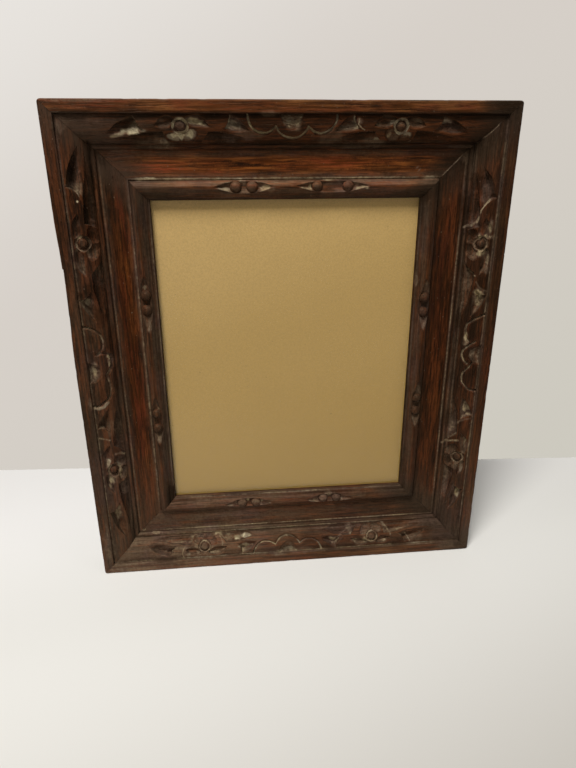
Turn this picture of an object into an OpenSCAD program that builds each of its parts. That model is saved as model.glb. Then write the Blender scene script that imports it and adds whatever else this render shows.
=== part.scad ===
// Carved wooden picture frame: a carved outer frame around a plain-banded inner frame,
// mitred and nailed, with glass, card and a backing board held by brads.
// It stands on its bottom edge, face towards -Y, origin under its middle.

/* [Frame] */
// Overall width
frame_w = 355.6; // [340:0.1:380]
// Overall height
frame_h = 406.4; // [395:0.1:440]
// Depth of the wood from face to back
frame_depth = 32; // [31:0.5:36]

/* [Outer moulding] */
// Width of the flat fillet round the outside
fillet_w = 9.5; // [8.5:0.1:9.5]
// Radius of the worn outer arris
arris_r = 2; // [1:0.1:3]
// Radius of the convex carved band
band_r = 18.6; // [18.2:0.1:19.4]
// Width of the outer moulding up to the edge of its lip
lip_a = 33; // [32:0.1:34]
// Depth of the rebate that the inner frame sits in, under the lip
lip_d = 16; // [15.5:0.1:17]
// Offset of the rebate's cheek
cheek_a = 26; // [25:0.1:27]

/* [Inner moulding] */
// Offset of the edge that the picture is seen through
sight_a = 70; // [69.5:0.1:71]
// Radius of the raised round moulding next to the sight edge
torus_r = 5.4; // [5:0.1:5.6]
// Thickness of the inner frame
inner_t = 14; // [13:0.5:14.5]

/* [Carving] */
// Distance of the bottom rail's flowers from its corners, left and right
flower_bottom = [94.6, 96.6]; // [90:0.1:100]
// Distance of the top rail's flowers from its corners, right and left
flower_top = [92.6, 97.6]; // [90:0.1:100]
// Distance of the left stile's flowers from its corners, upper and lower
flower_left = [99.6, 106.3]; // [98:0.1:108]
// Distance of the right stile's flowers from its corners, lower and upper
flower_right = [102.2, 106.2]; // [98:0.1:108]
// Radius of a flower's middle bead
bead_r = 3.8; // [3.2:0.1:4.2]
// Radius of the scallops' side lobes
lobe_r = 11.2; // [10.5:0.1:12]

/* [Picture] */
// Depth of the step that the glass rests on
glass_d = 19.5; // [19:0.1:20]
// Thickness of the glass
glass_t = 2; // [1.8:0.1:2.2]
// Thickness of the tan card
card_t = 1.5; // [1:0.1:1.8]
// Thickness of the backing board
board_t = 3; // [2.5:0.1:3.2]

/* [Hangers] */
// Height of the two hangers
hanger_z = 290; // [200:1:330]
// Radius of the ring's wire
wire_r = 0.95; // [0.8:0.05:1]
// Angle that the rings are swung to, from flat on the back
ring_swing = 0; // [0:1:170]

/* [Hidden] */
$fn = 48;

oak = "#5a3420";
dark_oak = "#4a2c1c";
steel = "#6f6a62";
// Overlaps of joined solids, a reach past everything, room round the glass, room round a nail
eps = 0.01;
lap = 1;
far = 60;
slack = 0.3;
fit = 0.04;

// Outer band: an arc seen in section, as [depth, offset] of its centre
band_c = [21, 12.5];
band_end = 29;
quirk_d = 13.9;
lip_r = 2;
lip_sunk = 0.5;

// Inner frame, in section
inner_a = cheek_a + 0.4;
inner_back = lip_d + inner_t;
rebate_a = sight_a - 6.5;
flat_end = [lip_d + 0.9, 54.6];
inner_quirk = [lip_d + 2, 55.6];
torus_c = [lip_d + 1, 60.8];
slope_start = [13.8, 63.8];
slope_end = [15.1, 68];
sight_step = [16, 68.3];
sight_d = 16.4;

// Flowers: offset, how far the bead is sunk, and the dish round it as radius and depth
flower_a = 18.5;
bead_sunk = 2;
dish = [9, 2.4];
// Petals' hollows as length, width and depth, and their places as along, down and turn
petal = [17, 9, 2.7];
petal_at = [12.6, -4, 14];
heart = [12.5, 8.6, 2.7];
heart_at = [6.2, 5.6, 38];
// Reach from a flower's middle: raised lobe, its radius, outer leaf tip, inner leaf tip
rail_reach = [22, 11.5, 52, 50];
stile_reach = [27, 12.5, 61, 61];
// Outline of the raised cup under a flower, as half width and offset
cup = [[18, 16], [12.5, 30]];
// Leaf hollows as offset of the tip, offset of the base, width, depth and length past the base
outer_leaf = [22, 15, 11, 3.4, 5];
inner_leaf = [20.5, 15.2, 10.5, 3.2, 5];
low_leaf = [26.2, 24.8, 8.4, 2.6, 3];
low_leaf_u = [4, 15];
leaf_lap = 3;
// The carving keeps this far inside the band's edges
carve_in = [0.2, 0.3];
// Scallops: offsets where their planes touch the band, and how far up their centres lie
scallop_a = [16, 18];
scallop_up = 5;
scallop_gap = 0.4;
mid_lobe_r = lobe_r + 1.4;
// Grooves as half width, depth and height above, and the gouge as radius, depth and offset
groove = [1.6, 2.1, 1.4];
gouge = [14, 3.2, 11.5];
// Places along each side of the bead pairs on the round moulding, as [middle, spacing]
pairs_bottom = [[-39, 13], [39, 13]];
pairs_top = [[-33, 22], [34.8, 14]];
pairs_left = [[-56, 12], [48, 12]];
pairs_right = [[-49, 12], [47.5, 12]];
// Hollow round a bead pair as added length, width and depth, and the beads as radius, depth, offset
pair_hollow = [32, 12, 4];
pair_bead = [4, 15.2, 60.5];

// Nails, as length, radius, head radius and head height, and their places
corner_nail = [38, 0.9, 1.5, 0.8];
corner_nail_in = 9;
corner_nail_d = [14, 24];
inner_nail = [28, 0.7, 1.1, 0.6];
inner_nail_in = 9;
inner_nail_d = 23;
slant_nail = [17, 0.7, 1, 0.5];
slant_a = 34;
slant_angle = 30;
rail_slants = [-60, 60];
stile_slants = [-85, 85];
nail_sunk = 1.2;
hole_over = 3;
brad = [14, 0.6, 1, 0.4];
brad_out = 8;
rail_brads = [-55, 55];
stile_brads = [-85, 0, 85];

// Hangers, measured from the middle of the ring's bar
strap_t = 0.9;
loop_r = 2;
strap_w = 9;
screw_u = 6.4;
ring_half = 7;
ring_leg = 4;
hanger_a = 20;
ring_play = 0.08;
// Screw as shank length and radius, head radius, height and top radius, and its slot
screw = [10, 1.6, 2.9, 1.6, 2.3];
screw_play = 0.2;
slot = 0.8;

face_y = -(frame_depth + 2 * loop_r) / 2;
back_y = face_y + frame_depth;
board_d = glass_d + glass_t + card_t;

function band_t(a) = asin((a - band_c[1]) / band_r);
function band_d(a) = band_c[0] - band_r * cos(band_t(a));
// A point at a height above the carved band, from its place along the piece and its offset
function above_band(u, a, h) = [u, band_d(a) - h * cos(band_t(a)), a + h * sin(band_t(a))];

// Placement of the four sides. Each is drawn with u along X, depth along Y and offset along Z.
module at_bottom() translate([0, face_y, 0]) children();
module at_top() translate([0, face_y, frame_h]) rotate([0, 180, 0]) children();
module at_left() translate([-frame_w / 2, face_y, frame_h / 2]) rotate([0, 90, 0]) children();
module at_right() translate([frame_w / 2, face_y, frame_h / 2]) rotate([0, -90, 0]) children();

// A section swept along the side and cut to a mitre at both ends
module mitred(length, widest) {
    intersection() {
        rotate([90, 0, 90]) linear_extrude(length, center = true) children();
        translate([0, far, 0]) rotate([90, 0, 0]) linear_extrude(far + lap)
            polygon([[-length / 2, 0], [length / 2, 0],
                [length / 2 - widest, widest], [widest - length / 2, widest]]);
    }
}

// Section of the outer moulding, as [depth, offset]
module outer_section() {
    difference() {
        union() {
            square([frame_depth, fillet_w]);
            intersection() {
                translate(band_c) circle(band_r, $fn = 96);
                translate([0, fillet_w - eps]) square([band_c[0], band_end - fillet_w + eps]);
            }
            translate([band_c[0] - eps, fillet_w - eps])
                square([frame_depth - band_c[0] + eps, cheek_a - fillet_w + eps]);
            translate([quirk_d, band_end - lap]) square([lip_d - quirk_d, lip_a - band_end]);
            translate([lip_d - lip_sunk, lip_a - lip_r]) circle(lip_r, $fn = 32);
        }
        translate([lip_d, cheek_a]) square([frame_depth, lip_a]);
        difference() {
            translate([-lap, -lap]) square(arris_r + lap);
            translate([arris_r, arris_r]) circle(arris_r);
        }
    }
}

// Section of the inner moulding: flat band, quirk, round moulding, slope and sight lip
module inner_section() {
    polygon([[inner_back, inner_a], [lip_d, inner_a], [lip_d, lip_a + lap], flat_end,
        inner_quirk, [inner_quirk[0], slope_start[1]], slope_start, slope_end, sight_step,
        [sight_d, sight_a], [glass_d, sight_a], [glass_d, rebate_a], [inner_back, rebate_a]]);
    intersection() {
        translate(torus_c) circle(torus_r, $fn = 64);
        square([inner_quirk[0], sight_a]);
    }
}

// A leaf-shaped hollow that widens from its tip to its base. Tip and base are [u, offset].
module leaf(tip, base, width, deep, over) {
    p = above_band(tip[0], tip[1], 0);
    q = above_band(base[0], base[1], width / 2 - deep);
    v = q - p;
    long = norm(v);
    round_r = (long * long + width * width / 4) / width;
    translate(q) rotate([0, acos(v[2] / long), atan2(v[1], v[0])]) rotate_extrude() {
        intersection() {
            translate([width / 2 - round_r, 0]) circle(round_r, $fn = 180);
            translate([0, -long]) square([width / 2, long]);
        }
        square([width / 2, over]);
    }
}

// Local frame on the carved band: X along the piece, Y down the band, Z out of it
module on_band(u, a) translate(above_band(u, a, 0)) rotate([90 - band_t(a), 0, 0]) children();

// A pointed scoop along X, cut into the plane z = 0. Size is length, width and depth.
module scoop(size) {
    round_r = size[0] * size[0] / (4 * size[1]) + size[1] / 4;
    translate([0, 0, size[1] / 2 - size[2]]) rotate([0, 90, 0]) rotate_extrude() intersection() {
        translate([size[1] / 2 - round_r, 0]) circle(round_r, $fn = 120);
        translate([0, -size[0] / 2]) square([size[1] / 2, size[0]]);
    }
}

// The raised group round one flower, which the leaf hollows stop against
module flower_ground(lobe_u, r) {
    for (s = [-1, 1]) translate([s * lobe_u, far / 2, fillet_w]) rotate([90, 0, 0])
        cylinder(r = r, h = far);
    translate([0, far / 2, 0]) rotate([90, 0, 0]) linear_extrude(far)
        polygon([[-cup[0][0], cup[0][1]], [-cup[1][0], cup[1][1]], cup[1], cup[0]]);
}

// Hollows on both sides of one flower. The middle of the piece is towards +X.
module leaf_hollows(reach) {
    base_u = reach[0] + reach[1] - leaf_lap;
    difference() {
        for (s = [-1, 1]) {
            tip_u = s < 0 ? reach[2] : reach[3];
            high = s < 0 ? outer_leaf : inner_leaf;
            leaf([s * tip_u, high[0]], [s * base_u, high[1]], high[2], high[3], high[4]);
            leaf([s * (tip_u - low_leaf_u[0]), low_leaf[0]], [s * low_leaf_u[1], low_leaf[1]],
                low_leaf[2], low_leaf[3], low_leaf[4]);
        }
        flower_ground(reach[0], reach[1]);
    }
}

// Dish and four petals of one flower
module flower_hollows() on_band(0, flower_a) {
    translate([0, 0, dish[0] - dish[1]]) sphere(dish[0]);
    for (s = [-1, 1]) {
        translate([s * petal_at[0], petal_at[1], 0]) rotate([0, 0, s * petal_at[2]]) scoop(petal);
        translate([s * heart_at[0], heart_at[1], 0]) rotate([0, 0, s * heart_at[2]]) scoop(heart);
    }
}

// A V-shaped groove round a lobe
module ring_groove(r) rotate_extrude()
    polygon([[r - groove[0], groove[2]], [r + groove[0], groove[2]], [r, -groove[1]]]);

// The middle of one scallop: middle (k = 0) or side (k = 1 or -1)
module at_scallop(u, k) on_band(u + k * (2 * lobe_r - scallop_gap), scallop_a[k == 0 ? 1 : 0])
    translate([0, -scallop_up, 0]) children();

// Grooves round the three scallops in the middle of a side, and the gouge in the middle one
module scallops(u) {
    for (k = [-1, 1]) difference() {
        at_scallop(u, k) ring_groove(lobe_r);
        at_scallop(u, 0) cylinder(r = mid_lobe_r, h = far, center = true);
    }
    difference() {
        at_scallop(u, 0) ring_groove(mid_lobe_r);
        for (k = [-1, 1]) at_scallop(u, k) cylinder(r = lobe_r, h = far, center = true);
    }
    on_band(u, gouge[2]) translate([0, 0, gouge[0] - gouge[1]]) sphere(gouge[0]);
}

// An outer side with its carving and nail holes. Flowers are two distances from the corners.
module outer_side(length, flowers, middle_u, reach, slants) {
    places = [[flowers[0] - length / 2, 0], [length / 2 - flowers[1], 1]];
    difference() {
        mitred(length, lip_a + lap) outer_section();
        intersection() {
            union() {
                for (p = places) translate([p[0], 0, 0]) mirror([p[1], 0, 0]) {
                    leaf_hollows(reach);
                    flower_hollows();
                }
                scallops(middle_u);
            }
            translate([-length / 2, -far / 2, fillet_w + carve_in[0]])
                cube([length, far, band_end - fillet_w - carve_in[0] - carve_in[1]]);
        }
        slant_places(slants) nail_hole(slant_nail);
    }
    for (p = places) on_band(p[0], flower_a) translate([0, 0, -bead_sunk]) sphere(bead_r);
}

// An inner side with its bead pairs, and the holes for its slanted nails and brads
module inner_side(length, pairs, slants, brads) {
    difference() {
        mitred(length, sight_a + lap) inner_section();
        for (p = pairs) translate([p[0], torus_c[0] - torus_r, torus_c[1]]) rotate([90, 0, 0])
            scoop([p[1] + pair_hollow[0], pair_hollow[1], pair_hollow[2]]);
        slant_places(slants) nail_hole(slant_nail);
        brad_places(brads) nail_hole(brad);
    }
    for (p = pairs, s = [-1, 1])
        translate([p[0] + s * p[1] / 2, pair_bead[1], pair_bead[2]]) sphere(pair_bead[0]);
}

// A wire nail that points down, with the middle of its head's top at the origin
module nail(size) {
    point = 3 * size[1];
    translate([0, 0, -size[3]]) cylinder(r = size[2], h = size[3]);
    translate([0, 0, point - size[0]]) cylinder(r = size[1], h = size[0] - point - size[3] + eps);
    translate([0, 0, -size[0]]) cylinder(r1 = size[1] / 4, r2 = size[1], h = point);
}

// The hole for a nail, open above its head
module nail_hole(size) {
    translate([0, 0, -size[0] - fit]) cylinder(r = size[1] + fit, h = size[0]);
    translate([0, 0, -size[3]]) cylinder(r = size[2] + fit, h = size[3] + hole_over);
}

// Through the outer frame's corners, from its top and bottom edges
module corner_nail_places() {
    for (side = [-1, 1], end = [0, 1], d = corner_nail_d)
        translate([side * (frame_w / 2 - corner_nail_in), face_y + d,
            end ? frame_h - nail_sunk : nail_sunk]) rotate([end ? 0 : 180, 0, 0]) children();
}

// Through the inner frame's corners, from its stiles' outer edges
module inner_corner_places() {
    for (side = [-1, 1], end = [-1, 1])
        translate([side * (frame_w / 2 - inner_a - nail_sunk / 2), face_y + inner_nail_d,
            frame_h / 2 + end * (frame_h / 2 - inner_a - inner_nail_in)])
            rotate([0, side * 90, 0]) children();
}

// From the inner frame's back, at a slant, into the outer frame. In a side's own frame.
module slant_places(at) {
    for (u = at) translate([u, inner_back, slant_a]) rotate([-slant_angle, 0, 0])
        translate([0, 0, -nail_sunk]) children();
}

// Across the board's back into the wall of the rebate. In a side's own frame.
module brad_places(at) {
    for (u = at) translate([u, board_d + board_t + brad[2] + fit, rebate_a + brad_out]) children();
}

// Each side in its place, with the shared nails' holes cut through it
module outer_rail(top) color(oak) difference() {
    if (top) at_top() outer_side(frame_w, flower_top, -2.5, rail_reach, rail_slants);
    else at_bottom() outer_side(frame_w, flower_bottom, -2.5, rail_reach, rail_slants);
    corner_nail_places() nail_hole(corner_nail);
}

module outer_stile(right) color(oak) difference() {
    if (right) at_right() outer_side(frame_h, flower_right, 0, stile_reach, stile_slants);
    else at_left() outer_side(frame_h, flower_left, 0, stile_reach, stile_slants);
    corner_nail_places() nail_hole(corner_nail);
    hanger_place(right ? 1 : -1) screw_hole();
}

module inner_rail(top) color(dark_oak) difference() {
    if (top) at_top() inner_side(frame_w, pairs_top, rail_slants, rail_brads);
    else at_bottom() inner_side(frame_w, pairs_bottom, rail_slants, rail_brads);
    inner_corner_places() nail_hole(inner_nail);
}

module inner_stile(right) color(dark_oak) difference() {
    if (right) at_right() inner_side(frame_h, pairs_right, stile_slants, stile_brads);
    else at_left() inner_side(frame_h, pairs_left, stile_slants, stile_brads);
    inner_corner_places() nail_hole(inner_nail);
}

// A flat sheet that fills the rebate, from a depth behind the face
module sheet(d, thick) {
    inset = rebate_a + slack;
    translate([inset - frame_w / 2, face_y + d, inset])
        cube([frame_w - 2 * inset, thick, frame_h - 2 * inset]);
}

module glass_pane() color("#cfe0dc") sheet(glass_d, glass_t);
module picture_card() color("#b99b6b") sheet(glass_d + glass_t, card_t);
module backing_board() color("#7d5a3a") sheet(board_d, board_t);

module backing_brads() color(steel) {
    at_bottom() brad_places(rail_brads) nail(brad);
    at_top() brad_places(rail_brads) nail(brad);
    at_left() brad_places(stile_brads) nail(brad);
    at_right() brad_places(stile_brads) nail(brad);
}

module outer_corner_nails() color(steel) corner_nail_places() nail(corner_nail);
module inner_corner_nails() color(steel) inner_corner_places() nail(inner_nail);

module inner_frame_nails() color(steel) {
    at_bottom() slant_places(rail_slants) nail(slant_nail);
    at_top() slant_places(rail_slants) nail(slant_nail);
    at_left() slant_places(stile_slants) nail(slant_nail);
    at_right() slant_places(stile_slants) nail(slant_nail);
}

// A hanger's place on the back of a stile: X towards the frame's middle, Y out of the back
module hanger_place(side) translate([side * (frame_w / 2 - hanger_a), back_y, hanger_z])
    mirror([side > 0 ? 1 : 0, 0, 0]) children();

module screw_hole() translate([-screw_u, 0, 0]) rotate([-90, 0, 0])
    translate([0, 0, -screw[0] - lap]) cylinder(r = screw[1] + fit, h = screw[0] + 2 * lap);

// Strap folded round the ring's bar and screwed to the stile
module hanger_strap() difference() {
    union() {
        translate([-screw_u, 0, -strap_w / 2]) cube([screw_u, strap_t, strap_w]);
        translate([-screw_u, 0, 0]) rotate([-90, 0, 0]) cylinder(r = strap_w / 2, h = strap_t);
        translate([0, loop_r, -strap_w / 2]) cylinder(r = loop_r, h = strap_w);
        translate([-loop_r, 0, -strap_w / 2]) cube([loop_r, loop_r, strap_w]);
    }
    translate([0, loop_r, -strap_w]) cylinder(r = wire_r + ring_play, h = 2 * strap_w);
    translate([-screw_u, 0, 0]) rotate([-90, 0, 0])
        cylinder(r = screw[1] + screw_play, h = 3 * strap_t, center = true);
}

// Bent wire ring: a straight bar, two legs and a half-round bow, turned about its bar
module hanger_ring() translate([0, loop_r, 0]) rotate([0, 0, ring_swing]) {
    translate([0, 0, -ring_half]) cylinder(r = wire_r, h = 2 * ring_half);
    for (s = [-1, 1]) translate([0, 0, s * ring_half]) {
        sphere(wire_r);
        rotate([0, 90, 0]) cylinder(r = wire_r, h = ring_leg);
    }
    translate([ring_leg, 0, 0]) rotate([90, 0, 0]) rotate([0, 0, -90]) rotate_extrude(angle = 180)
        translate([ring_half, 0]) circle(wire_r);
}

module hanger_strap_left() color(steel) hanger_place(-1) hanger_strap();
module hanger_strap_right() color(steel) hanger_place(1) hanger_strap();
module hanger_ring_left() color(steel) hanger_place(-1) hanger_ring();
module hanger_ring_right() color(steel) hanger_place(1) hanger_ring();

module hanger_screws() color(steel) for (side = [-1, 1]) hanger_place(side)
    translate([-screw_u, strap_t, 0]) rotate([-90, 0, 0]) difference() {
        union() {
            translate([0, 0, -screw[0]]) cylinder(r = screw[1], h = screw[0] + eps);
            cylinder(r1 = screw[2], r2 = screw[4], h = screw[3]);
        }
        translate([-screw[2], -slot / 2, screw[3] - slot]) cube([2 * screw[2], slot, screw[3]]);
    }

outer_rail(true);  // outer_rail_top
outer_rail(false);  // outer_rail_bottom
outer_stile(false);  // outer_stile_left
outer_stile(true);  // outer_stile_right
inner_rail(true);  // inner_rail_top
inner_rail(false);  // inner_rail_bottom
inner_stile(false);  // inner_stile_left
inner_stile(true);  // inner_stile_right
glass_pane();
picture_card();
backing_board();
backing_brads();
outer_corner_nails();
inner_corner_nails();
inner_frame_nails();
hanger_strap_left();
hanger_strap_right();
hanger_ring_left();
hanger_ring_right();
hanger_screws();
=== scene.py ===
# Carved oak picture frame: detailed mouldings, finishes, floor, light and camera
import math
import bpy
import numpy as np
from mathutils import Matrix, Vector


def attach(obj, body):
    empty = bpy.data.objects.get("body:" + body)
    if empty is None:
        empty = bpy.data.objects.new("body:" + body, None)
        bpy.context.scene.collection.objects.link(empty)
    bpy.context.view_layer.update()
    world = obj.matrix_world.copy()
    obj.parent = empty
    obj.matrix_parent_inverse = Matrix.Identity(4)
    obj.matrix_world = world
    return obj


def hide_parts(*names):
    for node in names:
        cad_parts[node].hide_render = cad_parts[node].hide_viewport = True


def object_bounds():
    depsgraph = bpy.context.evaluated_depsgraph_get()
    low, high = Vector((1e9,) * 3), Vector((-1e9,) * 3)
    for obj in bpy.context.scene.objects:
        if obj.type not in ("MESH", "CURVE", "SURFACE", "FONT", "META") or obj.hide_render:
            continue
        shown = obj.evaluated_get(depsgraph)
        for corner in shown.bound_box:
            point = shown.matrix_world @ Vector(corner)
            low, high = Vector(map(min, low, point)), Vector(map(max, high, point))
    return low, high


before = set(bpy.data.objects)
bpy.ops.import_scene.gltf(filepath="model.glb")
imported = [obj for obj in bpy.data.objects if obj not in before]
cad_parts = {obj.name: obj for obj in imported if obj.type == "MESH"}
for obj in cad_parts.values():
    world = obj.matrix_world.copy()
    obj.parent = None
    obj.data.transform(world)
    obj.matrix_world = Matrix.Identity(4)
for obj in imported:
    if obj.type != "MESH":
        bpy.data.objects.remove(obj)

# Local sizes are in millimetres and reach Blender in metres
mm = 0.001
cadLow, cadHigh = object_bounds()
frameWidth = (cadHigh.x - cadLow.x) / mm
frameHeight = (cadHigh.z - cadLow.z) / mm
faceY = cadLow.y / mm
print("packed frame loaded,", len(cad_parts), "nodes")


# Camera, as fitted to the corners of the frame in the photograph
cameraView = {
    "place": (-0.0482, -0.4778, 0.3642),
    "turn": 5.69,       # degrees to the right of +Y
    "tilt": -21.14,     # degrees above the horizon
    "roll": -0.30,
    "lens": 26.95,
    "film": 36,         # mm along its long side
    "nearest": 0.01, "farthest": 50,    # metres that it sees
}


def makeCamera(v):
    data = bpy.data.cameras.new("camera")
    data.lens = v["lens"]
    data.sensor_width = v["film"]
    data.clip_start = v["nearest"]
    data.clip_end = v["farthest"]
    cam = bpy.data.objects.new("camera", data)
    bpy.context.scene.collection.objects.link(cam)
    aim = (Matrix.Rotation(math.radians(-v["turn"]), 4, "Z")
           @ Matrix.Rotation(math.radians(90 + v["tilt"]), 4, "X")
           @ Matrix.Rotation(math.radians(v["roll"]), 4, "Z"))
    cam.matrix_world = Matrix.Translation(v["place"]) @ aim
    bpy.context.scene.camera = cam
    return cam


camera = makeCamera(cameraView)


class Tree:
    # Short calls for adding and joining nodes of one tree
    def __init__(self, tree):
        self.tree = tree

    def join(self, value, socket):
        if isinstance(value, bpy.types.NodeSocket):
            self.tree.links.new(value, socket)
        elif value is not None:
            socket.default_value = (*value, 1) if socket.type == "RGBA" else value

    def fill(self, node, inputs):
        for label, value in inputs.items():
            self.join(value, node.inputs[label])

    def node(self, kind, inputs={}, **settings):
        node = self.tree.nodes.new(kind)
        for label, value in settings.items():
            setattr(node, label, value)
        self.fill(node, inputs)
        return node

    def maths(self, operation, a, b, clamp=False):
        return self.node("ShaderNodeMath", {0: a, 1: b}, operation=operation, use_clamp=clamp).outputs[0]

    def times(self, a, b, clamp=False):
        return self.maths("MULTIPLY", a, b, clamp)

    def plus(self, a, b, clamp=False):
        return self.maths("ADD", a, b, clamp)

    def minus(self, a, b):
        return self.maths("SUBTRACT", a, b)

    def most(self, a, b):
        return self.maths("MAXIMUM", a, b)

    def vector(self, x, y=None, z=None):
        return self.node("ShaderNodeCombineXYZ", {0: x, 1: y, 2: z}).outputs[0]

    def mix(self, factor, a, b):
        return self.node("ShaderNodeMix", {0: factor, 6: a, 7: b}, data_type="RGBA").outputs[2]

    def spread(self, value, low, high, toLow=0.0, toHigh=1.0):
        inputs = {0: value, 1: low, 2: high, 3: toLow, 4: toHigh}
        return self.node("ShaderNodeMapRange", inputs, interpolation_type="SMOOTHSTEP").outputs[0]

    # One smooth change of colour after another, each between two values
    def shades(self, value, changes, colours):
        shade = colours[0]
        for (low, high), colour in zip(changes, colours[1:]):
            shade = self.mix(self.spread(value, low, high), shade, colour)
        return shade

    def noise(self, vector, scale, detail, rough, twist=0.0):
        inputs = {"Vector": vector, "Scale": scale, "Detail": detail, "Roughness": rough, "Distortion": twist}
        return self.node("ShaderNodeTexNoise", inputs).outputs["Fac"]

    def stretch(self, vector, scale=(1, 1, 1), turn=(0, 0, 0), shift=(0, 0, 0)):
        inputs = {"Vector": vector, "Scale": scale, "Rotation": turn, "Location": shift}
        return self.node("ShaderNodeMapping", inputs).outputs[0]

    def group(self, group, values):
        return self.node("ShaderNodeGroup", values, node_tree=group).outputs

    def place(self, kind="Object"):
        return self.node("ShaderNodeTexCoord").outputs[kind]

    def dot(self, direction, kind="Object"):
        inputs = {0: self.place(kind), 1: direction}
        return self.node("ShaderNodeVectorMath", inputs, operation="DOT_PRODUCT").outputs["Value"]

    def stored(self, label):
        return self.node("ShaderNodeAttribute", attribute_name=label).outputs["Fac"]

    def bump(self, height, depth):
        return self.node("ShaderNodeBump", {"Height": height, "Distance": depth}).outputs["Normal"]


def newMaterial(name):
    mat = bpy.data.materials.new(name)
    mat.use_nodes = True
    return mat, Tree(mat.node_tree), mat.node_tree.nodes["Principled BSDF"]


# Floor, cut off at the line where the wall starts in the photograph
stageValues = {
    "imageSize": (576, 768),
    "wallLine": ((0, 470), (576, 457)),     # two pixels on that line
    "reach": 2.6,                           # metres of floor to each side and in front
    "drop": 0.0003,                         # the floor lies this far below the frame's foot
    "floorShadeColours": ((0.85, 0.825, 0.79), (0.745, 0.725, 0.675), (0.40, 0.37, 0.325)),
    "floorSlope": (0.5, -2.0, 0),           # painted shade: darker from the back on the left to the front on the right
    "floorChanges": ((-0.35, 0.1), (0.12, 0.85)),
    "floorRough": 0.6,
    "wallLightColours": ((0.605, 0.583, 0.515), (0.675, 0.628, 0.58), (0.825, 0.795, 0.755)),
    "wallRise": (-0.5, 0.0, 0.85),          # painted light: lighter from low on the right to high on the left
    "wallChanges": ((-0.72, 0.05), (-0.05, 0.42)),
    "roomColour": (1, 0.975, 0.94),
    "roomLight": 0.17,
    "keyPlace": (-0.38, -0.85, 1.95),
    "keyPower": 48.0,
    "fillPlace": (1.5, -1.2, 1.0),
    "fillPower": 2.0,
    "lampSize": 0.7,
}


def floorPoint(pixel, imageSize):
    wide, high = imageSize
    focal = cameraView["lens"] / cameraView["film"] * high
    ray = camera.matrix_world.to_3x3() @ Vector(
        ((pixel[0] - wide / 2) / focal, (high / 2 - pixel[1]) / focal, -1))
    return camera.matrix_world.translation - ray * (camera.matrix_world.translation.z / ray.z)


def areaLight(name, place, size, power, target):
    data = bpy.data.lights.new(name, "AREA")
    data.shape = "DISK"
    data.size = size
    data.energy = power
    lamp = bpy.data.objects.new(name, data)
    lamp.location = place
    lamp.rotation_mode = "QUATERNION"
    lamp.rotation_quaternion = (Vector(target) - Vector(place)).to_track_quat("-Z", "Y")
    bpy.context.scene.collection.objects.link(lamp)


def makeFloor(v):
    left, right = [floorPoint(pixel, v["imageSize"]) for pixel in v["wallLine"]]
    along = (right - left).normalized()
    front = Vector((along.y, -along.x, 0)) * v["reach"] * 2
    far = [left - along * v["reach"], right + along * v["reach"]]
    corners = [far[0], far[0] + front, far[1] + front, far[1]]
    mesh = bpy.data.meshes.new("floor")
    mesh.from_pydata([(c.x, c.y, -v["drop"]) for c in corners], [], [(0, 1, 2, 3)])
    paint, t, surface = newMaterial("paleFloor")
    # The floor's colour paints shade: lighter at the back on the left, darker at the front on the right
    t.fill(surface, {"Base Color": t.shades(t.dot(v["floorSlope"]), v["floorChanges"], v["floorShadeColours"]),
                     "Roughness": v["floorRough"]})
    mesh.materials.append(paint)
    floor = bpy.data.objects.new("floor", mesh)
    bpy.context.scene.collection.objects.link(floor)


# The room's light, and the wall that only the camera sees, painted lighter high on the left and darker low on
# the right
def makeRoom(v):
    world = bpy.data.worlds.new("paleRoom")
    world.use_nodes = True
    t = Tree(world.node_tree)
    light = t.tree.nodes["Background"]
    t.fill(light, {"Color": v["roomColour"], "Strength": v["roomLight"]})
    # Painted light on the wall, lighter high on the left
    shade = t.shades(t.dot(v["wallRise"], "Generated"), v["wallChanges"], v["wallLightColours"])
    wall = t.node("ShaderNodeBackground", {"Color": shade})
    path = t.node("ShaderNodeLightPath").outputs
    seen = t.most(path["Is Camera Ray"], path["Is Transmission Ray"])
    mix = t.node("ShaderNodeMixShader", {0: seen, 1: light.outputs[0], 2: wall.outputs[0]})
    t.fill(t.tree.nodes["World Output"], {"Surface": mix.outputs[0]})
    bpy.context.scene.world = world
    bpy.context.scene.view_settings.view_transform = "Standard"


makeFloor(stageValues)
frameMiddle = (0, 0, frameHeight * mm / 2)
for lamp in ("key", "fill"):
    areaLight(lamp + "Light", stageValues[lamp + "Place"], stageValues["lampSize"],
              stageValues[lamp + "Power"], frameMiddle)
makeRoom(stageValues)
print("camera, floor and lights made")


# Shader groups shared by the finishes
floatKind, colourKind, vectorKind = "NodeSocketFloat", "NodeSocketColor", "NodeSocketVector"


def newGroup(name, inputs, outputs):
    group = bpy.data.node_groups.new(name, "ShaderNodeTree")
    for label, kind, value in inputs:
        socket = group.interface.new_socket(name=label, in_out="INPUT", socket_type=kind)
        socket.default_value = (*value, 1) if kind == colourKind else value
    for label, kind in outputs:
        group.interface.new_socket(name=label, in_out="OUTPUT", socket_type=kind)
    t = Tree(group)
    return t, t.node("NodeGroupInput").outputs, t.node("NodeGroupOutput")


# Noise of the oak's grain, which runs along X, as [stretch, shift, detail, roughness, distortion]
grainNoise = {
    "broad": ((7, 75, 75), (0, 0, 0), 3, 0.55, 0.5), "fine": ((48, 560, 560), (0, 0, 0), 4, 0.68, 0.2),
    "lines": ((38, 900, 900), (1, 2, 3), 2, 0.5, 0.15), "pores": ((130, 1900, 1900), (3, 5, 7), 2, 0.6, 0),
}


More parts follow.
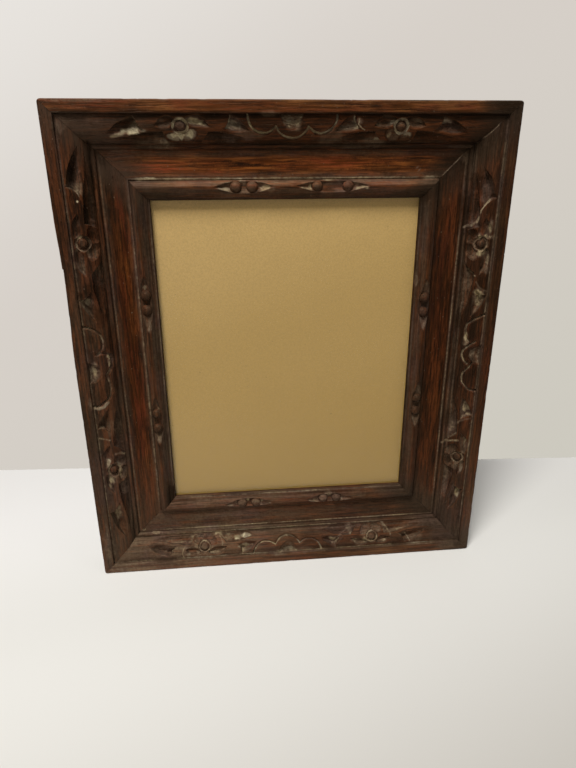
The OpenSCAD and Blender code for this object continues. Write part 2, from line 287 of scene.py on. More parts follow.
# Stained oak with broad streaks, fine dark lines and open pores
def makeOakGroup():
    t, given, result = newGroup(
        "oakGrain",
        [("Place", vectorKind, (0, 0, 0)), ("Dark", colourKind, (0.02, 0.01, 0.006)),
         ("Middle", colourKind, (0.07, 0.03, 0.015)), ("Light", colourKind, (0.15, 0.06, 0.025)),
         ("Contrast", floatKind, 1.0)],
        [("Colour", colourKind), ("Height", floatKind)])
    broad, fine, lines, pores = [
        t.noise(t.stretch(given["Place"], scale, shift=shift), 1, detail, rough, twist)
        for scale, shift, detail, rough, twist in grainNoise.values()]
    both = t.plus(t.times(broad, 0.42), t.times(fine, 0.58))
    streak = t.plus(t.times(t.times(t.minus(both, 0.5), given["Contrast"]), 4.6), 0.5, True)
    colour = t.shades(streak, ((0.0, 0.6), (0.55, 1.0)), (given["Dark"], given["Middle"], given["Light"]))
    line = t.spread(lines, 0.56, 0.66)
    pore = t.spread(pores, 0.60, 0.70)
    for mark, strength in ((line, 0.75), (pore, 0.65)):
        colour = t.mix(t.times(mark, strength), colour, given["Dark"])
    furrow = t.plus(t.times(pore, 0.8), t.times(line, 0.5))
    t.fill(result, {"Colour": colour, "Height": t.minus(t.times(fine, 0.6), furrow)})
    return t.tree


# Age over any wood: rubbed streaks, black wax with painted shade, a brown film in the corners, and dust
# that is a thin film where there is little of it and cream where there is much
def makeAgeGroup():
    t, given, result = newGroup(
        "ageDustAndShade",
        [("Place", vectorKind, (0, 0, 0)), ("Along", vectorKind, (0, 0, 0)),
         ("Colour", colourKind, (0.1, 0.05, 0.02)),
         ("Dust", floatKind, 0.0), ("Worn", floatKind, 0.0), ("Grime And Shade", floatKind, 0.0),
         ("Corner", floatKind, 0.0),
         ("Dust Colour", colourKind, (0.35, 0.285, 0.16)), ("Cool Dust", colourKind, (0.27, 0.222, 0.150)),
         ("Bright Dust", colourKind, (0.50, 0.42, 0.26)),
         ("Film Colour", colourKind, (0.16, 0.12, 0.075)), ("Rosy Film", colourKind, (0.144, 0.092, 0.067)),
         ("Worn Colour", colourKind, (0.07, 0.022, 0.006)), ("Worn Light", colourKind, (0.16, 0.052, 0.015)),
         ("Worn Red", colourKind, (0.17, 0.034, 0.012)),
         ("Corner Colour", colourKind, (0.05, 0.03, 0.02)),
         ("Black", colourKind, (0.009, 0.005, 0.0025))],
        [("Colour", colourKind), ("Roughness", floatKind)])
    place, dust = given["Place"], given["Dust"]

    def streaksOf(scale, shift, detail, rough):
        return t.noise(t.stretch(given["Along"], scale, shift=shift), 1, detail, rough)

    def cloudsOf(shift, scale, detail, rough):
        return t.noise(t.stretch(place, shift=shift), scale, detail, rough)

    patches = t.noise(place, 120, 4, 0.6)
    specks = t.noise(place, 1100, 3, 0.7)
    sheen = t.noise(place, 24, 4, 0.6)
    grit = t.noise(place, 430, 4, 0.7)
    streaks = streaksOf((22, 330, 330), (5, 1, 9), 4, 0.65)
    patchy = t.plus(patches, t.times(t.minus(specks, 0.5), 0.9))
    streaky = t.plus(t.times(streaks, 0.75), t.times(patchy, 0.25))
    mottle = t.plus(t.times(streaks, 0.5), t.times(grit, 0.5))
    # Worn wood
    redness = t.spread(streaksOf((14, 60, 60), (2, 6, 3), 3, 0.6), 0.42, 0.60)
    pale = t.mix(redness, given["Worn Light"], given["Worn Red"])
    bared = t.spread(streaksOf((30, 620, 620), (4, 8, 2), 3, 0.6), 0.40, 0.62)
    rubbed = t.times(given["Worn"], t.spread(streaky, 0.34, 0.56))
    colour = t.mix(rubbed, given["Colour"], t.mix(bared, given["Worn Colour"], pale))
    # Brown film, and black wax with painted shade
    corner = t.times(given["Corner"], t.spread(patchy, 0.25, 0.6, 0.55, 1.0))
    colour = t.mix(corner, colour, given["Corner Colour"])
    # The black here is wax and painted shade
    black = t.times(given["Grime And Shade"], t.spread(mottle, 0.36, 0.60, 1.0, 0.72))
    colour = t.mix(black, colour, given["Black"])
    # Dust
    film = t.times(dust, t.spread(mottle, 0.36, 0.64, 0.45, 1.3), True)
    crumbs = t.spread(cloudsOf((2, 4, 6), 480, 2, 0.5), 0.72, 0.76, 0, 0.6)
    blush = t.spread(cloudsOf((9, 2, 8), 28, 3, 0.55), 0.44, 0.62)
    filmColour = t.mix(blush, given["Film Colour"], given["Rosy Film"])
    colour = t.mix(t.most(film, crumbs), colour, filmColour)
    coolness = t.spread(cloudsOf((7, 3, 5), 45, 2, 0.5), 0.46, 0.66)
    settled = t.mix(coolness, given["Dust Colour"], given["Cool Dust"])
    thick = t.spread(t.plus(dust, t.times(t.minus(grit, 0.5), 0.5)), 0.90, 1.05)
    cream = t.spread(t.plus(dust, t.minus(mottle, 0.5)), 0.48, 1.06)
    colour = t.mix(cream, colour, t.mix(thick, settled, given["Bright Dust"]))
    rough = t.plus(t.times(t.most(film, cream), 0.35), t.spread(sheen, 0.3, 0.7, 0.34, 0.50))
    t.fill(result, {"Colour": colour, "Roughness": rough})
    return t.tree


oakGroup = makeOakGroup()
ageGroup = makeAgeGroup()
alongX = (0, 0, 0)
alongZ = (0, math.radians(90), 0)
sideOrder = ("top", "bottom", "left", "right")      # four values together are for these sides
stiles = ("left", "right")


# One oak finish for each side. The grain runs along it: along X on rails, along Z on stiles.
def oakFinish(name, turn, shift, tone, contrast, v):
    mat, t, surface = newMaterial(name)
    place = t.place()
    turned = t.stretch(place, turn=turn, shift=shift)
    stain = {label: [c * tone for c in v[label]]
             for label in ("dark", "middle", "light", "wornColour", "wornLight", "wornRed")}
    grain = t.group(oakGroup, {
        "Place": turned, "Dark": stain["dark"], "Middle": stain["middle"], "Light": stain["light"],
        "Contrast": v["contrast"] * contrast})
    aged = t.group(ageGroup, {
        "Place": place, "Along": turned, "Colour": grain["Colour"],
        "Dust": t.stored("dust"), "Worn": t.stored("worn"), "Grime And Shade": t.stored("grimeAndShade"),
        "Corner": t.stored("corner"), "Dust Colour": v["dustColour"], "Film Colour": v["filmColour"],
        "Worn Colour": stain["wornColour"], "Worn Light": stain["wornLight"],
        "Worn Red": stain["wornRed"], "Corner Colour": v["cornerColour"], "Black": v["black"]})
    t.fill(surface, {
        "Base Color": aged["Colour"], "Roughness": aged["Roughness"], "Specular IOR Level": v["shine"],
        "Specular Tint": v["shineTint"], "Normal": t.bump(grain["Height"], v["bump"])})
    return mat


ageColours = {
    "dustColour": (0.32, 0.245, 0.130), "filmColour": (0.155, 0.105, 0.064),
    "cornerColour": (0.045, 0.027, 0.016), "black": (0.009, 0.005, 0.0025),
    "shine": 0.12, "shineTint": (1.0, 0.68, 0.42),
}
oakValues = {
    "outer": {
        **ageColours, "dark": (0.009, 0.004, 0.002), "middle": (0.034, 0.0105, 0.0038),
        "light": (0.092, 0.026, 0.008), "contrast": 1.10, "wornColour": (0.066, 0.021, 0.0055),
        "wornLight": (0.180, 0.068, 0.020), "wornRed": (0.170, 0.040, 0.015), "bump": 0.0003},
    "inner": {
        **ageColours, "dark": (0.010, 0.004, 0.002), "middle": (0.042, 0.012, 0.0036),
        "light": (0.105, 0.027, 0.007), "contrast": 1.05, "wornColour": (0.074, 0.019, 0.0035),
        "wornLight": (0.210, 0.066, 0.014), "wornRed": (0.200, 0.038, 0.012), "bump": 0.00025},
}
# Lightness of each side's oak colours and contrast of its grain on each side
sideTone = {"outer": (1.02, 1.15, 0.85, 0.85), "inner": (1.40, 0.9, 0.78, 0.78)}
grainContrast = (1.3, 1.0, 1.6, 1.15)
oak = {}
for kind in ("outer", "inner"):
    for number, side in enumerate(sideOrder):
        shift = (0.31 * number, 0.17 * number, 0.25 + 0.11 * number)    # another piece of the grain
        oak[kind, side] = oakFinish(
            kind + side.capitalize() + "Oak", alongZ if side in stiles else alongX, shift,
            sideTone[kind][number], grainContrast[number], oakValues[kind])
print("oak finishes made")


# Geometry Nodes tree that sweeps a section along a side and cuts the mitres
def makeMitreTree():
    t = Tree(bpy.data.node_groups.new("mitredMoulding", "GeometryNodeTree"))
    sockets = {}
    for label, kind, value in (("Section", "Geometry", None), ("Length", "Float", 0.3),
                               ("Steps", "Int", 500), ("Seam", "Float", 0.0001),
                               ("Finish", "Material", None)):
        socket = t.tree.interface.new_socket(name=label, in_out="INPUT", socket_type="NodeSocket" + kind)
        if value is not None:
            socket.default_value = value
        sockets[label] = socket.identifier
    t.tree.interface.new_socket(name="Side", in_out="OUTPUT", socket_type="NodeSocketGeometry")
    given = t.node("NodeGroupInput").outputs
    half = t.times(given["Length"], 0.5)
    line = t.node("GeometryNodeCurvePrimitiveLine",
                  {"Start": t.vector(t.times(half, -1)), "End": t.vector(half)})
    steps = t.node("GeometryNodeResampleCurve", {"Curve": line.outputs[0], "Count": given["Steps"]})
    sweep = t.node("GeometryNodeCurveToMesh", {
        "Curve": steps.outputs[0], "Profile Curve": given["Section"], "Fill Caps": True})
    part = t.node("ShaderNodeSeparateXYZ", {0: t.node("GeometryNodeInputPosition").outputs[0]}).outputs
    reach = t.minus(t.minus(half, given["Seam"]), part["Z"])
    mitred = t.times(part["X"], t.maths("DIVIDE", reach, half))
    move = t.node("GeometryNodeSetPosition", {
        "Geometry": sweep.outputs[0], "Position": t.vector(mitred, part["Y"], part["Z"])})
    real = t.node("GeometryNodeRealizeInstances", {"Geometry": move.outputs[0]})
    paint = t.node("GeometryNodeSetMaterial", {"Geometry": real.outputs[0], "Material": given["Finish"]})
    t.join(paint.outputs[0], t.node("NodeGroupOutput").inputs[0])
    return t.tree, sockets


mitreTree, mitreSockets = makeMitreTree()


# Helpers for sections, listed as [depth, offset] in millimetres
def straight(start, end, count):
    return [tuple(p + (q - p) * k / count for p, q in zip(start, end)) for k in range(count)]


def onCircle(centre, radius, degrees):
    turn = math.radians(degrees)
    return centre[0] + radius * math.cos(turn), centre[1] + radius * math.sin(turn)


def arcOf(centre, radius, start, end, count):
    return [onCircle(centre, radius, start + (end - start) * k / count) for k in range(count)]


class Section:
    # A closed outline. Stretches of rows that are needed later have a name.
    def __init__(self):
        self.points = []
        self.rows = {}

    def add(self, points, name=None):
        first = len(self.points)
        self.points += points
        if name:
            self.rows[name] = (first, len(self.points))


outerMoulding = {
    "depth": 32.0, "filletWidth": 9.3, "arris": 1.0, "nailBand": (11, 27), "stepArris": 0.5,
    "bandCentre": (21.0, 12.5), "bandRadius": 18.6, "bandEnd": 29.0,
    "quirkDepth": 13.9, "lipCentre": (15.5, 31.0), "lipRadius": 2.0,
    "rebateDepth": 16.0, "cheek": 26.0, "backArris": 0.8, "railSteps": 680, "stileSteps": 780,
    "railNailRows": 26, "stileNailRows": 8, "seed": 100,
}


def bandAngle(v, a):
    return np.arcsin(np.clip((a - v["bandCentre"][1]) / v["bandRadius"], -1, 1))


def outerSection(v, nailRows):
    s = Section()
    depth, soft, cheek, rebate = v["depth"], v["backArris"], v["cheek"], v["rebateDepth"]
    arris, stepArris, fillet, quirk = v["arris"], v["stepArris"], v["filletWidth"], v["quirkDepth"]
    nailsFrom, nailsTo = v["nailBand"]
    s.add(straight((arris, 0), (nailsFrom, 0), 5))
    s.add(straight((nailsFrom, 0), (nailsTo, 0), nailRows))
    s.add(straight((nailsTo, 0), (depth - soft, 0), 3))
    s.add(arcOf((depth - soft, soft), soft, -90, 0, 4))
    s.add(straight((depth, soft), (depth, cheek - soft), 5), "back")
    s.add(straight((depth, cheek - soft), (depth - soft, cheek), 1))
    s.add(straight((depth - soft, cheek), (rebate, cheek), 3))
    centre, radius = v["lipCentre"], v["lipRadius"]
    turnIn = math.degrees(math.acos((rebate - centre[0]) / radius))
    turnOut = 360 - math.degrees(math.acos((quirk - centre[0]) / radius))
    s.add(straight((rebate, cheek), (rebate, onCircle(centre, radius, turnIn)[1]), 3))
    s.add(arcOf(centre, radius, turnIn, turnOut, 12))
    lipFoot = (quirk, centre[1] - radius * math.sin(math.radians(turnOut - 180)))
    s.add(straight(lipFoot, (quirk, v["bandEnd"]), 2))
    low = math.degrees(bandAngle(v, v["bandEnd"]))
    high = math.degrees(bandAngle(v, fillet))
    bandFoot, bandTop = [v["bandCentre"][0] - v["bandRadius"] * math.cos(math.radians(turn))
                         for turn in (low, high)]
    s.add(straight((quirk, v["bandEnd"]), (bandFoot, v["bandEnd"]), 3))
    s.add(arcOf(v["bandCentre"], v["bandRadius"], 180 - low, 180 - high, 58), "band")
    s.add(straight((bandTop, fillet), (stepArris, fillet), 4))
    s.add(arcOf((stepArris, fillet - stepArris), stepArris, 90, 180, 3))
    s.add(straight((0, fillet - stepArris), (0, arris), 8))
    s.add(arcOf((arris, arris), arris, 180, 270, 5))
    return s


innerMoulding = {
    "start": 26.4, "face": 16.0, "back": 30.0, "rebate": 63.5, "glassDepth": 19.5, "sight": 70.0,
    "nailBand": (32, 36), "faceEnd": 33.5, "dip": ((16.1, 36.4), (16.8, 52.2)), "flatEnd": (16.9, 54.6),
    "quirk": (18.0, 55.6), "roundCentre": (17.0, 60.8), "roundRadius": 5.4,
    "slopeStart": (13.8, 63.8), "slopeEnd": (15.1, 68.0), "step": (16.0, 68.3),
    "sightDepth": 16.4, "sightArris": 0.5, "glassArris": 0.3,
    "railSteps": 620, "stileSteps": 700, "seed": 300,
}


# Turn, in degrees, of the point where a line from outside enters a circle
def crossing(centre, radius, outside, inside):
    low, high = 0.0, 1.0
    for _ in range(40):
        t = (low + high) / 2
        x = outside[0] + (inside[0] - outside[0]) * t - centre[0]
        y = outside[1] + (inside[1] - outside[1]) * t - centre[1]
        if math.hypot(x, y) > radius:
            low = t
        else:
            high = t
    return math.degrees(math.atan2(y, x)) % 360


def innerSection(v):
    s = Section()
    back, rebate, start, sight, face = v["back"], v["rebate"], v["start"], v["sight"], v["face"]
    nailsFrom, nailsTo = v["nailBand"]
    s.add(straight((back, start), (back, nailsFrom), 2), "back")
    s.add(straight((back, nailsFrom), (back, nailsTo), 8))
    s.add(straight((back, nailsTo), (back, rebate), 6))
    glass, soft = v["glassDepth"], v["glassArris"]
    s.add(straight((back, rebate), (glass, rebate), 4))
    s.add(straight((glass, rebate), (glass, sight - soft), 4))
    s.add(arcOf((glass - soft, sight - soft), soft, 0, 90, 2))
    lip, soft = v["sightDepth"], v["sightArris"]
    s.add(straight((glass - v["glassArris"], sight), (lip + soft, sight), 3))
    s.add(arcOf((lip + soft, sight - soft), soft, 90, 180, 3))
    s.add(straight((lip, sight - soft), v["step"], 2))
    s.add(straight(v["step"], v["slopeEnd"], 3))
    centre, radius = v["roundCentre"], v["roundRadius"]
    first = crossing(centre, radius, v["slopeEnd"], v["slopeStart"])
    last = crossing(centre, radius, v["flatEnd"], v["quirk"])
    s.add(straight(v["slopeEnd"], onCircle(centre, radius, first), 6), "slope")
    s.add(arcOf(centre, radius, first, last, 40))
    s.add(straight(onCircle(centre, radius, last), v["flatEnd"], 3), "quirk")
    dipTo, dipFrom = v["dip"]
    s.add(straight(v["flatEnd"], dipFrom, 6))
    s.add(straight(dipFrom, dipTo, 9))
    s.add(straight(dipTo, (face, v["faceEnd"]), 7))
    s.add(straight((face, v["faceEnd"]), (face, start), 2))
    s.add(straight((face, start), (back, start), 3))
    return s


# Smooth noise between -1 and 1, from a seeded table
def softNoise(x, y, size, seed):
    table = np.random.default_rng(seed).random((64, 64)) * 2 - 1
    gx, gy = x / size, y / size
    ix, iy = np.floor(gx).astype(int), np.floor(gy).astype(int)
    fx, fy = gx - ix, gy - iy
    fx, fy = fx * fx * (3 - 2 * fx), fy * fy * (3 - 2 * fy)
    a, b = table[ix % 64, iy % 64], table[(ix + 1) % 64, iy % 64]
    c, d = table[ix % 64, (iy + 1) % 64], table[(ix + 1) % 64, (iy + 1) % 64]
    return (a * (1 - fx) + b * fx) * (1 - fy) + (c * (1 - fx) + d * fx) * fy


def smooth(x, low, high):
    t = np.clip((x - low) / (high - low), 0, 1)
    return t * t * (3 - 2 * t)


# A smooth curve through a few [x, y] points
def curveThrough(points, x):
    px, py = np.array(points, float).T
    slope = np.gradient(py, px)
    k = np.clip(np.searchsorted(px, x) - 1, 0, len(px) - 2)
    h = px[k + 1] - px[k]
    t = np.clip((x - px[k]) / h, 0, 1)
    return ((2 * t ** 3 - 3 * t ** 2 + 1) * py[k] + (t ** 3 - 2 * t ** 2 + t) * h * slope[k]
            + (3 * t ** 2 - 2 * t ** 3) * py[k + 1] + (t ** 3 - t ** 2) * h * slope[k + 1])


# Depth of a gouged hollow between an upper and a lower edge, deepest at its valley
def gouge(x, a, upper, lower, deep, valley):
    top, bottom = curveThrough(upper, x), curveThrough(lower, x)
    wide = np.maximum(bottom - top, 0.01)
    v = (a - top) / wide
    rise = np.where(v < valley, (valley - v) / valley, (v - valley) / (1 - valley))
    inside = (x > upper[0][0]) & (x < upper[-1][0]) & (v > 0) & (v < 1)
    return np.where(inside, np.minimum(deep, wide * 0.6) * (1 - np.clip(rise, 0, 1) ** 1.7), 0)


def dish(x, a, centre, size, turn, deep):
    c, s = math.cos(math.radians(turn)), math.sin(math.radians(turn))
    dx, da = x - centre[0], a - centre[1]
    r2 = ((dx * c + da * s) / size[0]) ** 2 + ((da * c - dx * s) / size[1]) ** 2
    return deep * np.clip(1 - r2, 0, 1) ** 0.8


# Grids kept together: how deep the wood is cut, how much dust lies there, and where the beads are
class Cuts:
    def __init__(self, shape):
        self.depth = np.zeros(shape)
        self.pale = np.zeros(shape)
        self.bead = np.zeros(shape)

    def take(self, depth, pale):
        deeper = depth > self.depth + 0.05
        self.pale = np.where(deeper, pale, self.pale)
        self.depth = np.maximum(self.depth, depth)


# One flower with its leaves. x is from the flower's middle, positive towards the side's middle.
# A cut is [upper edge, lower edge, depth, place of the valley, dust where it starts, dust at its tip].
flowerValues = {
    "middle": 18.0, "core": 6.5,
    "outerLobe": ((-21, 9.5), 11.5), "innerLobe": ((25, 11), 10.6),
    "cupLeft": [(19, -12.8), (25, -11.3), (29, -9)],
    "cupRight": [(19, 21.6), (23.7, 18.8), (27, 15.5), (29, 12.2)],
    "outerLeaf": (
        [(-53.4, 22.6), (-47.4, 17.4), (-41.8, 14.2), (-36.3, 12.0), (-30, 9.7), (-20, 9)],
        [(-53.4, 22.9), (-39.6, 23.3), (-32.8, 22.3), (-25.3, 20.8), (-20, 20.4)], 5.4, 0.28, 0.95, 0.30),
    "outerLow": (
        [(-50.6, 26), (-37.4, 24.3), (-22, 21.6), (-8, 20.6)],
        [(-50.6, 26.3), (-41, 27.8), (-33, 28.7), (-8, 28.9)], 4.6, 0.28, 0.85, 0.15),
    "innerLeaf": (
        [(20, 8.5), (30, 8.8), (38.7, 10.6), (44.9, 15.0), (50.4, 20.6)],
        [(20, 19), (31.5, 20.4), (39.3, 22), (50.4, 21.3)], 5.0, 0.33, 0.95, 0.45),
    "innerLow": (
        [(10, 20), (19.8, 21.3), (25.9, 21.5), (37, 22.9), (49.3, 26.2)],
        [(10, 28.9), (28.2, 28.9), (40.4, 28.7), (49.3, 26.6)], 4.4, 0.28, 0.85, 0.25),
    "innerPetal": (
        [(4, 12), (9, 10.2), (15, 10.6), (21.5, 17.6)],
        [(4, 15.5), (9, 18.4), (15, 18.9), (21.5, 18.2)], 3.2, 0.38, 0.80, 0.60),
    "outerPetal": (
        [(-18.5, 17), (-14, 12.4), (-8, 11), (-4, 12)],
        [(-18.5, 17.6), (-14, 19.2), (-8, 19), (-4, 15.5)], 3.1, 0.38, 0.55, 0.30),
    "hearts": (((-4.8, 25.3), (6.4, 3.5), 8, 3.0), ((6.2, 24.2), (6.6, 4.4), -24, 3.0)),
    "dustReach": 7.0, "bead": 3.9, "beadTop": 3.3,
    "groove": 5.0, "grooveWidth": 1.6, "grooveDepth": 2.3,      # the ring round the bead
    "ringDust": {"top": 0.95, "bottom": 0.80, "left": 0.82, "right": 0.85},
}
# 1 where u runs to the right on a rail or down on a stile, as seen from the front, and -1 elsewhere
viewedAlong = {"top": -1, "bottom": 1, "left": 1, "right": -1}


def flowerCuts(v, side, cuts, x, a, outer, inner, heartDust, further):
    reach = np.where(x < 0, outer, inner)
    far = np.abs(x)
    x = np.sign(x) * (np.minimum(far, v["core"]) + np.maximum(far - v["core"], 0) / reach)
    rho = np.hypot(x, a - v["middle"] - further)
    a = a - 0.45 * further
    fromRing = rho - v["groove"]
    cupLeft, cupRight = curveThrough(v["cupLeft"], a), curveThrough(v["cupRight"], a)
    fromLobe = [np.hypot(x - middle[0], a - middle[1]) - radius
                for middle, radius in (v["outerLobe"], v["innerLobe"])]
    walls = {"outerLeaf": fromLobe[0], "outerLow": cupLeft - x, "innerLow": x - cupRight,
             "innerLeaf": fromLobe[1], "innerPetal": fromRing - 1, "outerPetal": fromRing - 1}
    for name, beyondWall in walls.items():
        upper, lower, deep, valley, dustAtStart, dustAtTip = v[name]
        pale = dustAtTip + (dustAtStart - dustAtTip) * np.exp(-np.clip(beyondWall, 0, None) / v["dustReach"])
        cuts.take(gouge(x, a, upper, lower, deep, valley) * smooth(beyondWall, 0, 0.45), pale)
    for heart, dust in zip(v["hearts"], heartDust):
        cuts.take(dish(x, a, *heart) * smooth(rho, v["groove"] + 1.0, v["groove"] + 1.5), dust)
    ring = np.clip(1 - (np.abs(rho - v["groove"]) / v["grooveWidth"]) ** 2, 0, 1)
    cuts.take(v["grooveDepth"] * ring, v["ringDust"][side])
    dome = v["beadTop"] - np.sqrt(np.clip(v["bead"] ** 2 - rho ** 2, 0, None))
    isBead = rho < v["bead"] - 0.1
    cuts.depth = np.where(isBead, np.minimum(cuts.depth + 2.5, dome), cuts.depth)
    cuts.pale = np.where(isBead, 0, cuts.pale)
    cuts.bead = np.maximum(cuts.bead, 1 - smooth(rho, v["bead"] - 0.3, v["bead"] + 0.3))


# Three scallops in the middle of a side, with a gouge in the middle one. Each rail has its own
# [middle, distance of the outer ones, their radius and offset, the middle one's offset and radius].
scallopValues = {
    "top": (-2.4, 21.5, 11.9, 10.8, 13.2, 13.0), "bottom": (-3.2, 20.9, 12.2, 9.6, 12.4, 13.2),
    "grooveWidth": 1.45, "grooveDepth": 2.0,
    "grooveDust": {"top": 0.92, "bottom": 0.95, "left": 1.0, "right": 0.95},
    "cut": ((0.4, 9.6), (9.0, 11.2), 0, 3.4), "cutDust": 0.8, "cutMiddle": {"left": 1.8, "right": 1.2},
}
# The stiles' scallops are stretched by the hand, so they follow lines, as
# [place as seen from the front, in from the edge]
scallopLines = {
    "left": [
        [(-37.4, 9.2), (-36.8, 13), (-35.1, 17.2), (-32.4, 20.6), (-29, 22.9), (-25, 23.9), (-21, 23.6),
         (-18, 22.5), (-15.5, 20.4), (-13.5, 17.4)],
        [(-13.5, 17.4), (-14.4, 20.8), (-13.9, 24.2), (-11.5, 27.0), (-8, 28.6), (-4, 28.4), (0, 27.2),
         (3, 25.5), (6, 23.4)],
        [(6, 23.6), (9, 24.4), (13, 25.2), (18, 25.7), (22, 25.2), (26, 23.0), (29, 19.8), (31.5, 16),
         (32.8, 12.6), (32.0, 9.2)]],
    "right": [
        [(-38, 8.5), (-37, 11.8), (-35, 16.4), (-32, 20.8), (-29, 23.4), (-24, 24.6), (-20, 24.4),
         (-16.5, 23.2), (-13.4, 21.0)],
        [(-14, 15.4), (-12, 18.4), (-9, 21.4), (-6, 23.8), (-3, 24.7), (1, 24.4), (4, 22.9), (6.6, 20.2)],
        [(5.5, 15.8), (9, 18), (12, 20), (15.5, 22.4), (18, 23.4), (21, 23.2), (25, 22.4), (28, 20),
         (30.5, 17), (32, 12.6), (32.5, 8.5)]],
}


# Distance from a line through a few points
def fromLine(along, offset, points):
    nearest = np.full_like(along, 1e3)
    for (x0, y0), (x1, y1) in zip(points[:-1], points[1:]):
        dx, dy = x1 - x0, y1 - y0
        t = np.clip(((along - x0) * dx + (offset - y0) * dy) / (dx * dx + dy * dy), 0, 1)
        nearest = np.minimum(nearest, np.hypot(along - x0 - t * dx, offset - y0 - t * dy))
    return nearest


def scallopCuts(v, side, cuts, u, a):
    dust = v["grooveDust"][side]
    if side in scallopLines:
        along = u * viewedAlong[side]
        for points in scallopLines[side]:
            groove = np.clip(1 - fromLine(along, a, points) / v["grooveWidth"], 0, 1)
            cuts.take(v["grooveDepth"] * groove, dust)
        cuts.take(dish(u - v["cutMiddle"][side], a, *v["cut"]), v["cutDust"])
        return
    middle, distance, outerRadius, outerOffset, offset, radius = v[side]
    x = u - middle
    rho = np.hypot(x, a - offset)
    clear = np.ones_like(x)
    for s in (-1, 1):
        r = np.hypot(x - s * distance, a - outerOffset)
        groove = v["grooveDepth"] * np.clip(1 - np.abs(r - outerRadius) / v["grooveWidth"], 0, 1)
        cuts.take(groove * smooth(rho, radius - 0.6, radius), dust)
        clear *= smooth(r, outerRadius - 0.6, outerRadius)
    groove = v["grooveDepth"] * np.clip(1 - np.abs(rho - radius) / v["grooveWidth"], 0, 1)
    cuts.take(groove * clear, dust)
    cuts.take(dish(x, a, *v["cut"]), v["cutDust"])


# Where each side's flowers are, along it from its middle, as
# [place, outer stretch, inner stretch, +1 if the side's middle lies towards +u,
# dust in the hearts on its corner side and on its middle side, how far it lies further in]
sideFlowers = {
    "top": [(80.2, 1.0, 1.0, -1, (0.89, 0.89), 0.0), (-85.2, 1.0, 1.0, 1, (0.70, 0.85), 0.0)],
    "bottom": [(-83.2, 1.0, 1.0, 1, (0.70, 0.60), 2.4), (80.0, 1.0, 1.0, -1, (0.55, 0.55), 1.7)],
    "left": [(-103.2, 1.33, 1.27, 1, (0.10, 0.50), 0.5), (94.9, 1.40, 1.20, -1, (0.75, 0.80), 2.2)],
    "right": [(-100.5, 1.10, 1.27, 1, (0.60, 0.50), 1.4), (97.4, 1.12, 1.25, -1, (0.35, 0.62), 2.0)],
}


# How far the hand strays along and across a side, as two heights with the sizes of their waves
handValues = {"along": (0.45, 7, 0.15, 2.2), "across": (0.35, 6, 0.12, 2.0)}


def strayed(start, heights, u, a, seed):
    high, size, low, sizeLow = heights
    return start + high * softNoise(u, a, size, seed) + low * softNoise(u, a, sizeLow, seed + 1)


def carve(side, u, a, seed):
    wobbleU = strayed(u, handValues["along"], u, a, seed)
    wobbleA = strayed(a, handValues["across"], u, a, seed + 2)
    cuts = Cuts(u.shape)
    scallopCuts(scallopValues, side, cuts, wobbleU, wobbleA)
    for place, outer, inner, way, heartDust, further in sideFlowers[side]:
        x = (wobbleU - place) * way
        flowerCuts(flowerValues, side, cuts, x, wobbleA, outer, inner, heartDust, further)
    toolMarks = 0.20 * softNoise(u, a * 2.2, 1.6, seed + 4) + 0.12 * softNoise(u, a, 0.8, seed + 5)
    cuts.depth += toolMarks * smooth(cuts.depth, 0.2, 1.2)
    return cuts


# Bead pairs on the inner round moulding, as [middle, distance apart] along each side
beadValues = {
    "top": [(-35.4, 24.8), (34.7, 13.0)], "bottom": [(-39, 13), (39, 13)],
    "left": [(-53.2, 12.2), (53.5, 14.2)], "right": [(-48.6, 12.5), (45.0, 12.8)],
    "reach": 17.5, "halfHeight": 5.1, "deep": 4.4, "radius": 4.5, "offset": 60.3, "sunk": 15.9,
    "dust": 0.35, "wingDust": 0.78,
}


def beadCuts(v, side, u, d, a, seed):
    crest = innerMoulding["roundCentre"][0] - innerMoulding["roundRadius"]
    floor = np.full_like(d, -1e3)
    hollow, pale, beads = np.zeros_like(d), np.zeros_like(d), np.zeros_like(d)
    for middle, apart in v[side]:
        half = apart / 2 + v["reach"]
        t = np.clip(np.abs(u - middle + 0.3 * softNoise(u, a, 5, seed)) / half, 0, 1)
        height = np.maximum(v["halfHeight"] * (1 - t ** 1.7), 0.01)
        w = np.abs(a - v["offset"] + 0.2 * softNoise(u, a, 4, seed + 1)) / height
        deep = v["deep"] * (1 - t ** 2.2)
        cut = crest + deep - 0.55 * deep * np.clip(w, 0, 1) ** 2
        wing = smooth(t * half, apart / 2, apart / 2 + 6)
        inside = (w < 1) & (t < 1)
        floor = np.where(inside, np.maximum(floor, cut), floor)
        hollow = np.where(inside, np.maximum(hollow, deep), hollow)
        pale = np.where(inside, v["dust"] + (v["wingDust"] - v["dust"]) * wing, pale)
    moved = np.maximum(d, floor)
    for middle, apart in v[side]:
        for s in (-1, 1):
            rho = np.hypot(u - middle - s * apart / 2, a - v["offset"])
            bead = v["sunk"] - np.sqrt(np.clip(v["radius"] ** 2 - rho ** 2, 0, None))
            isBead = rho < v["radius"] - 0.05
            moved = np.where(isBead, np.minimum(moved, bead), moved)
            hollow = np.where(isBead, 0, hollow)
            beads = np.maximum(beads, 1 - smooth(rho, v["radius"] - 0.3, v["radius"] + 0.4))
    return moved, hollow, pale, beads


# Holes over the sunk nail heads, in millimetres
nailValues = {
    "sunk": 1.25, "edge": 0.25,
    "cornerIn": 9.0, "cornerDepth": (14.0, 24.0), "cornerHead": 1.5,    # through the outer mitres
    "slantRail": 60.0, "slantStile": 85.0, "slantOffset": 34.0, "slantHead": 1.15,    # in the back
}


def headHole(rho, head):
    return nailValues["sunk"] * (1 - smooth(rho, head, head + nailValues["edge"]))


# The long chip in the left stile's outer arris, from the photograph
chipValues = {"start": -126.0, "notch": -84.5, "end": 5.0, "before": 1.0, "after": 1.7}


def chipInset(v, u):
    before = v["before"] * smooth(u, v["start"], v["notch"]) * (u < v["notch"])
    after = v["after"] * (1 - smooth(u, v["notch"], v["end"])) * (u >= v["notch"])
    return before + after


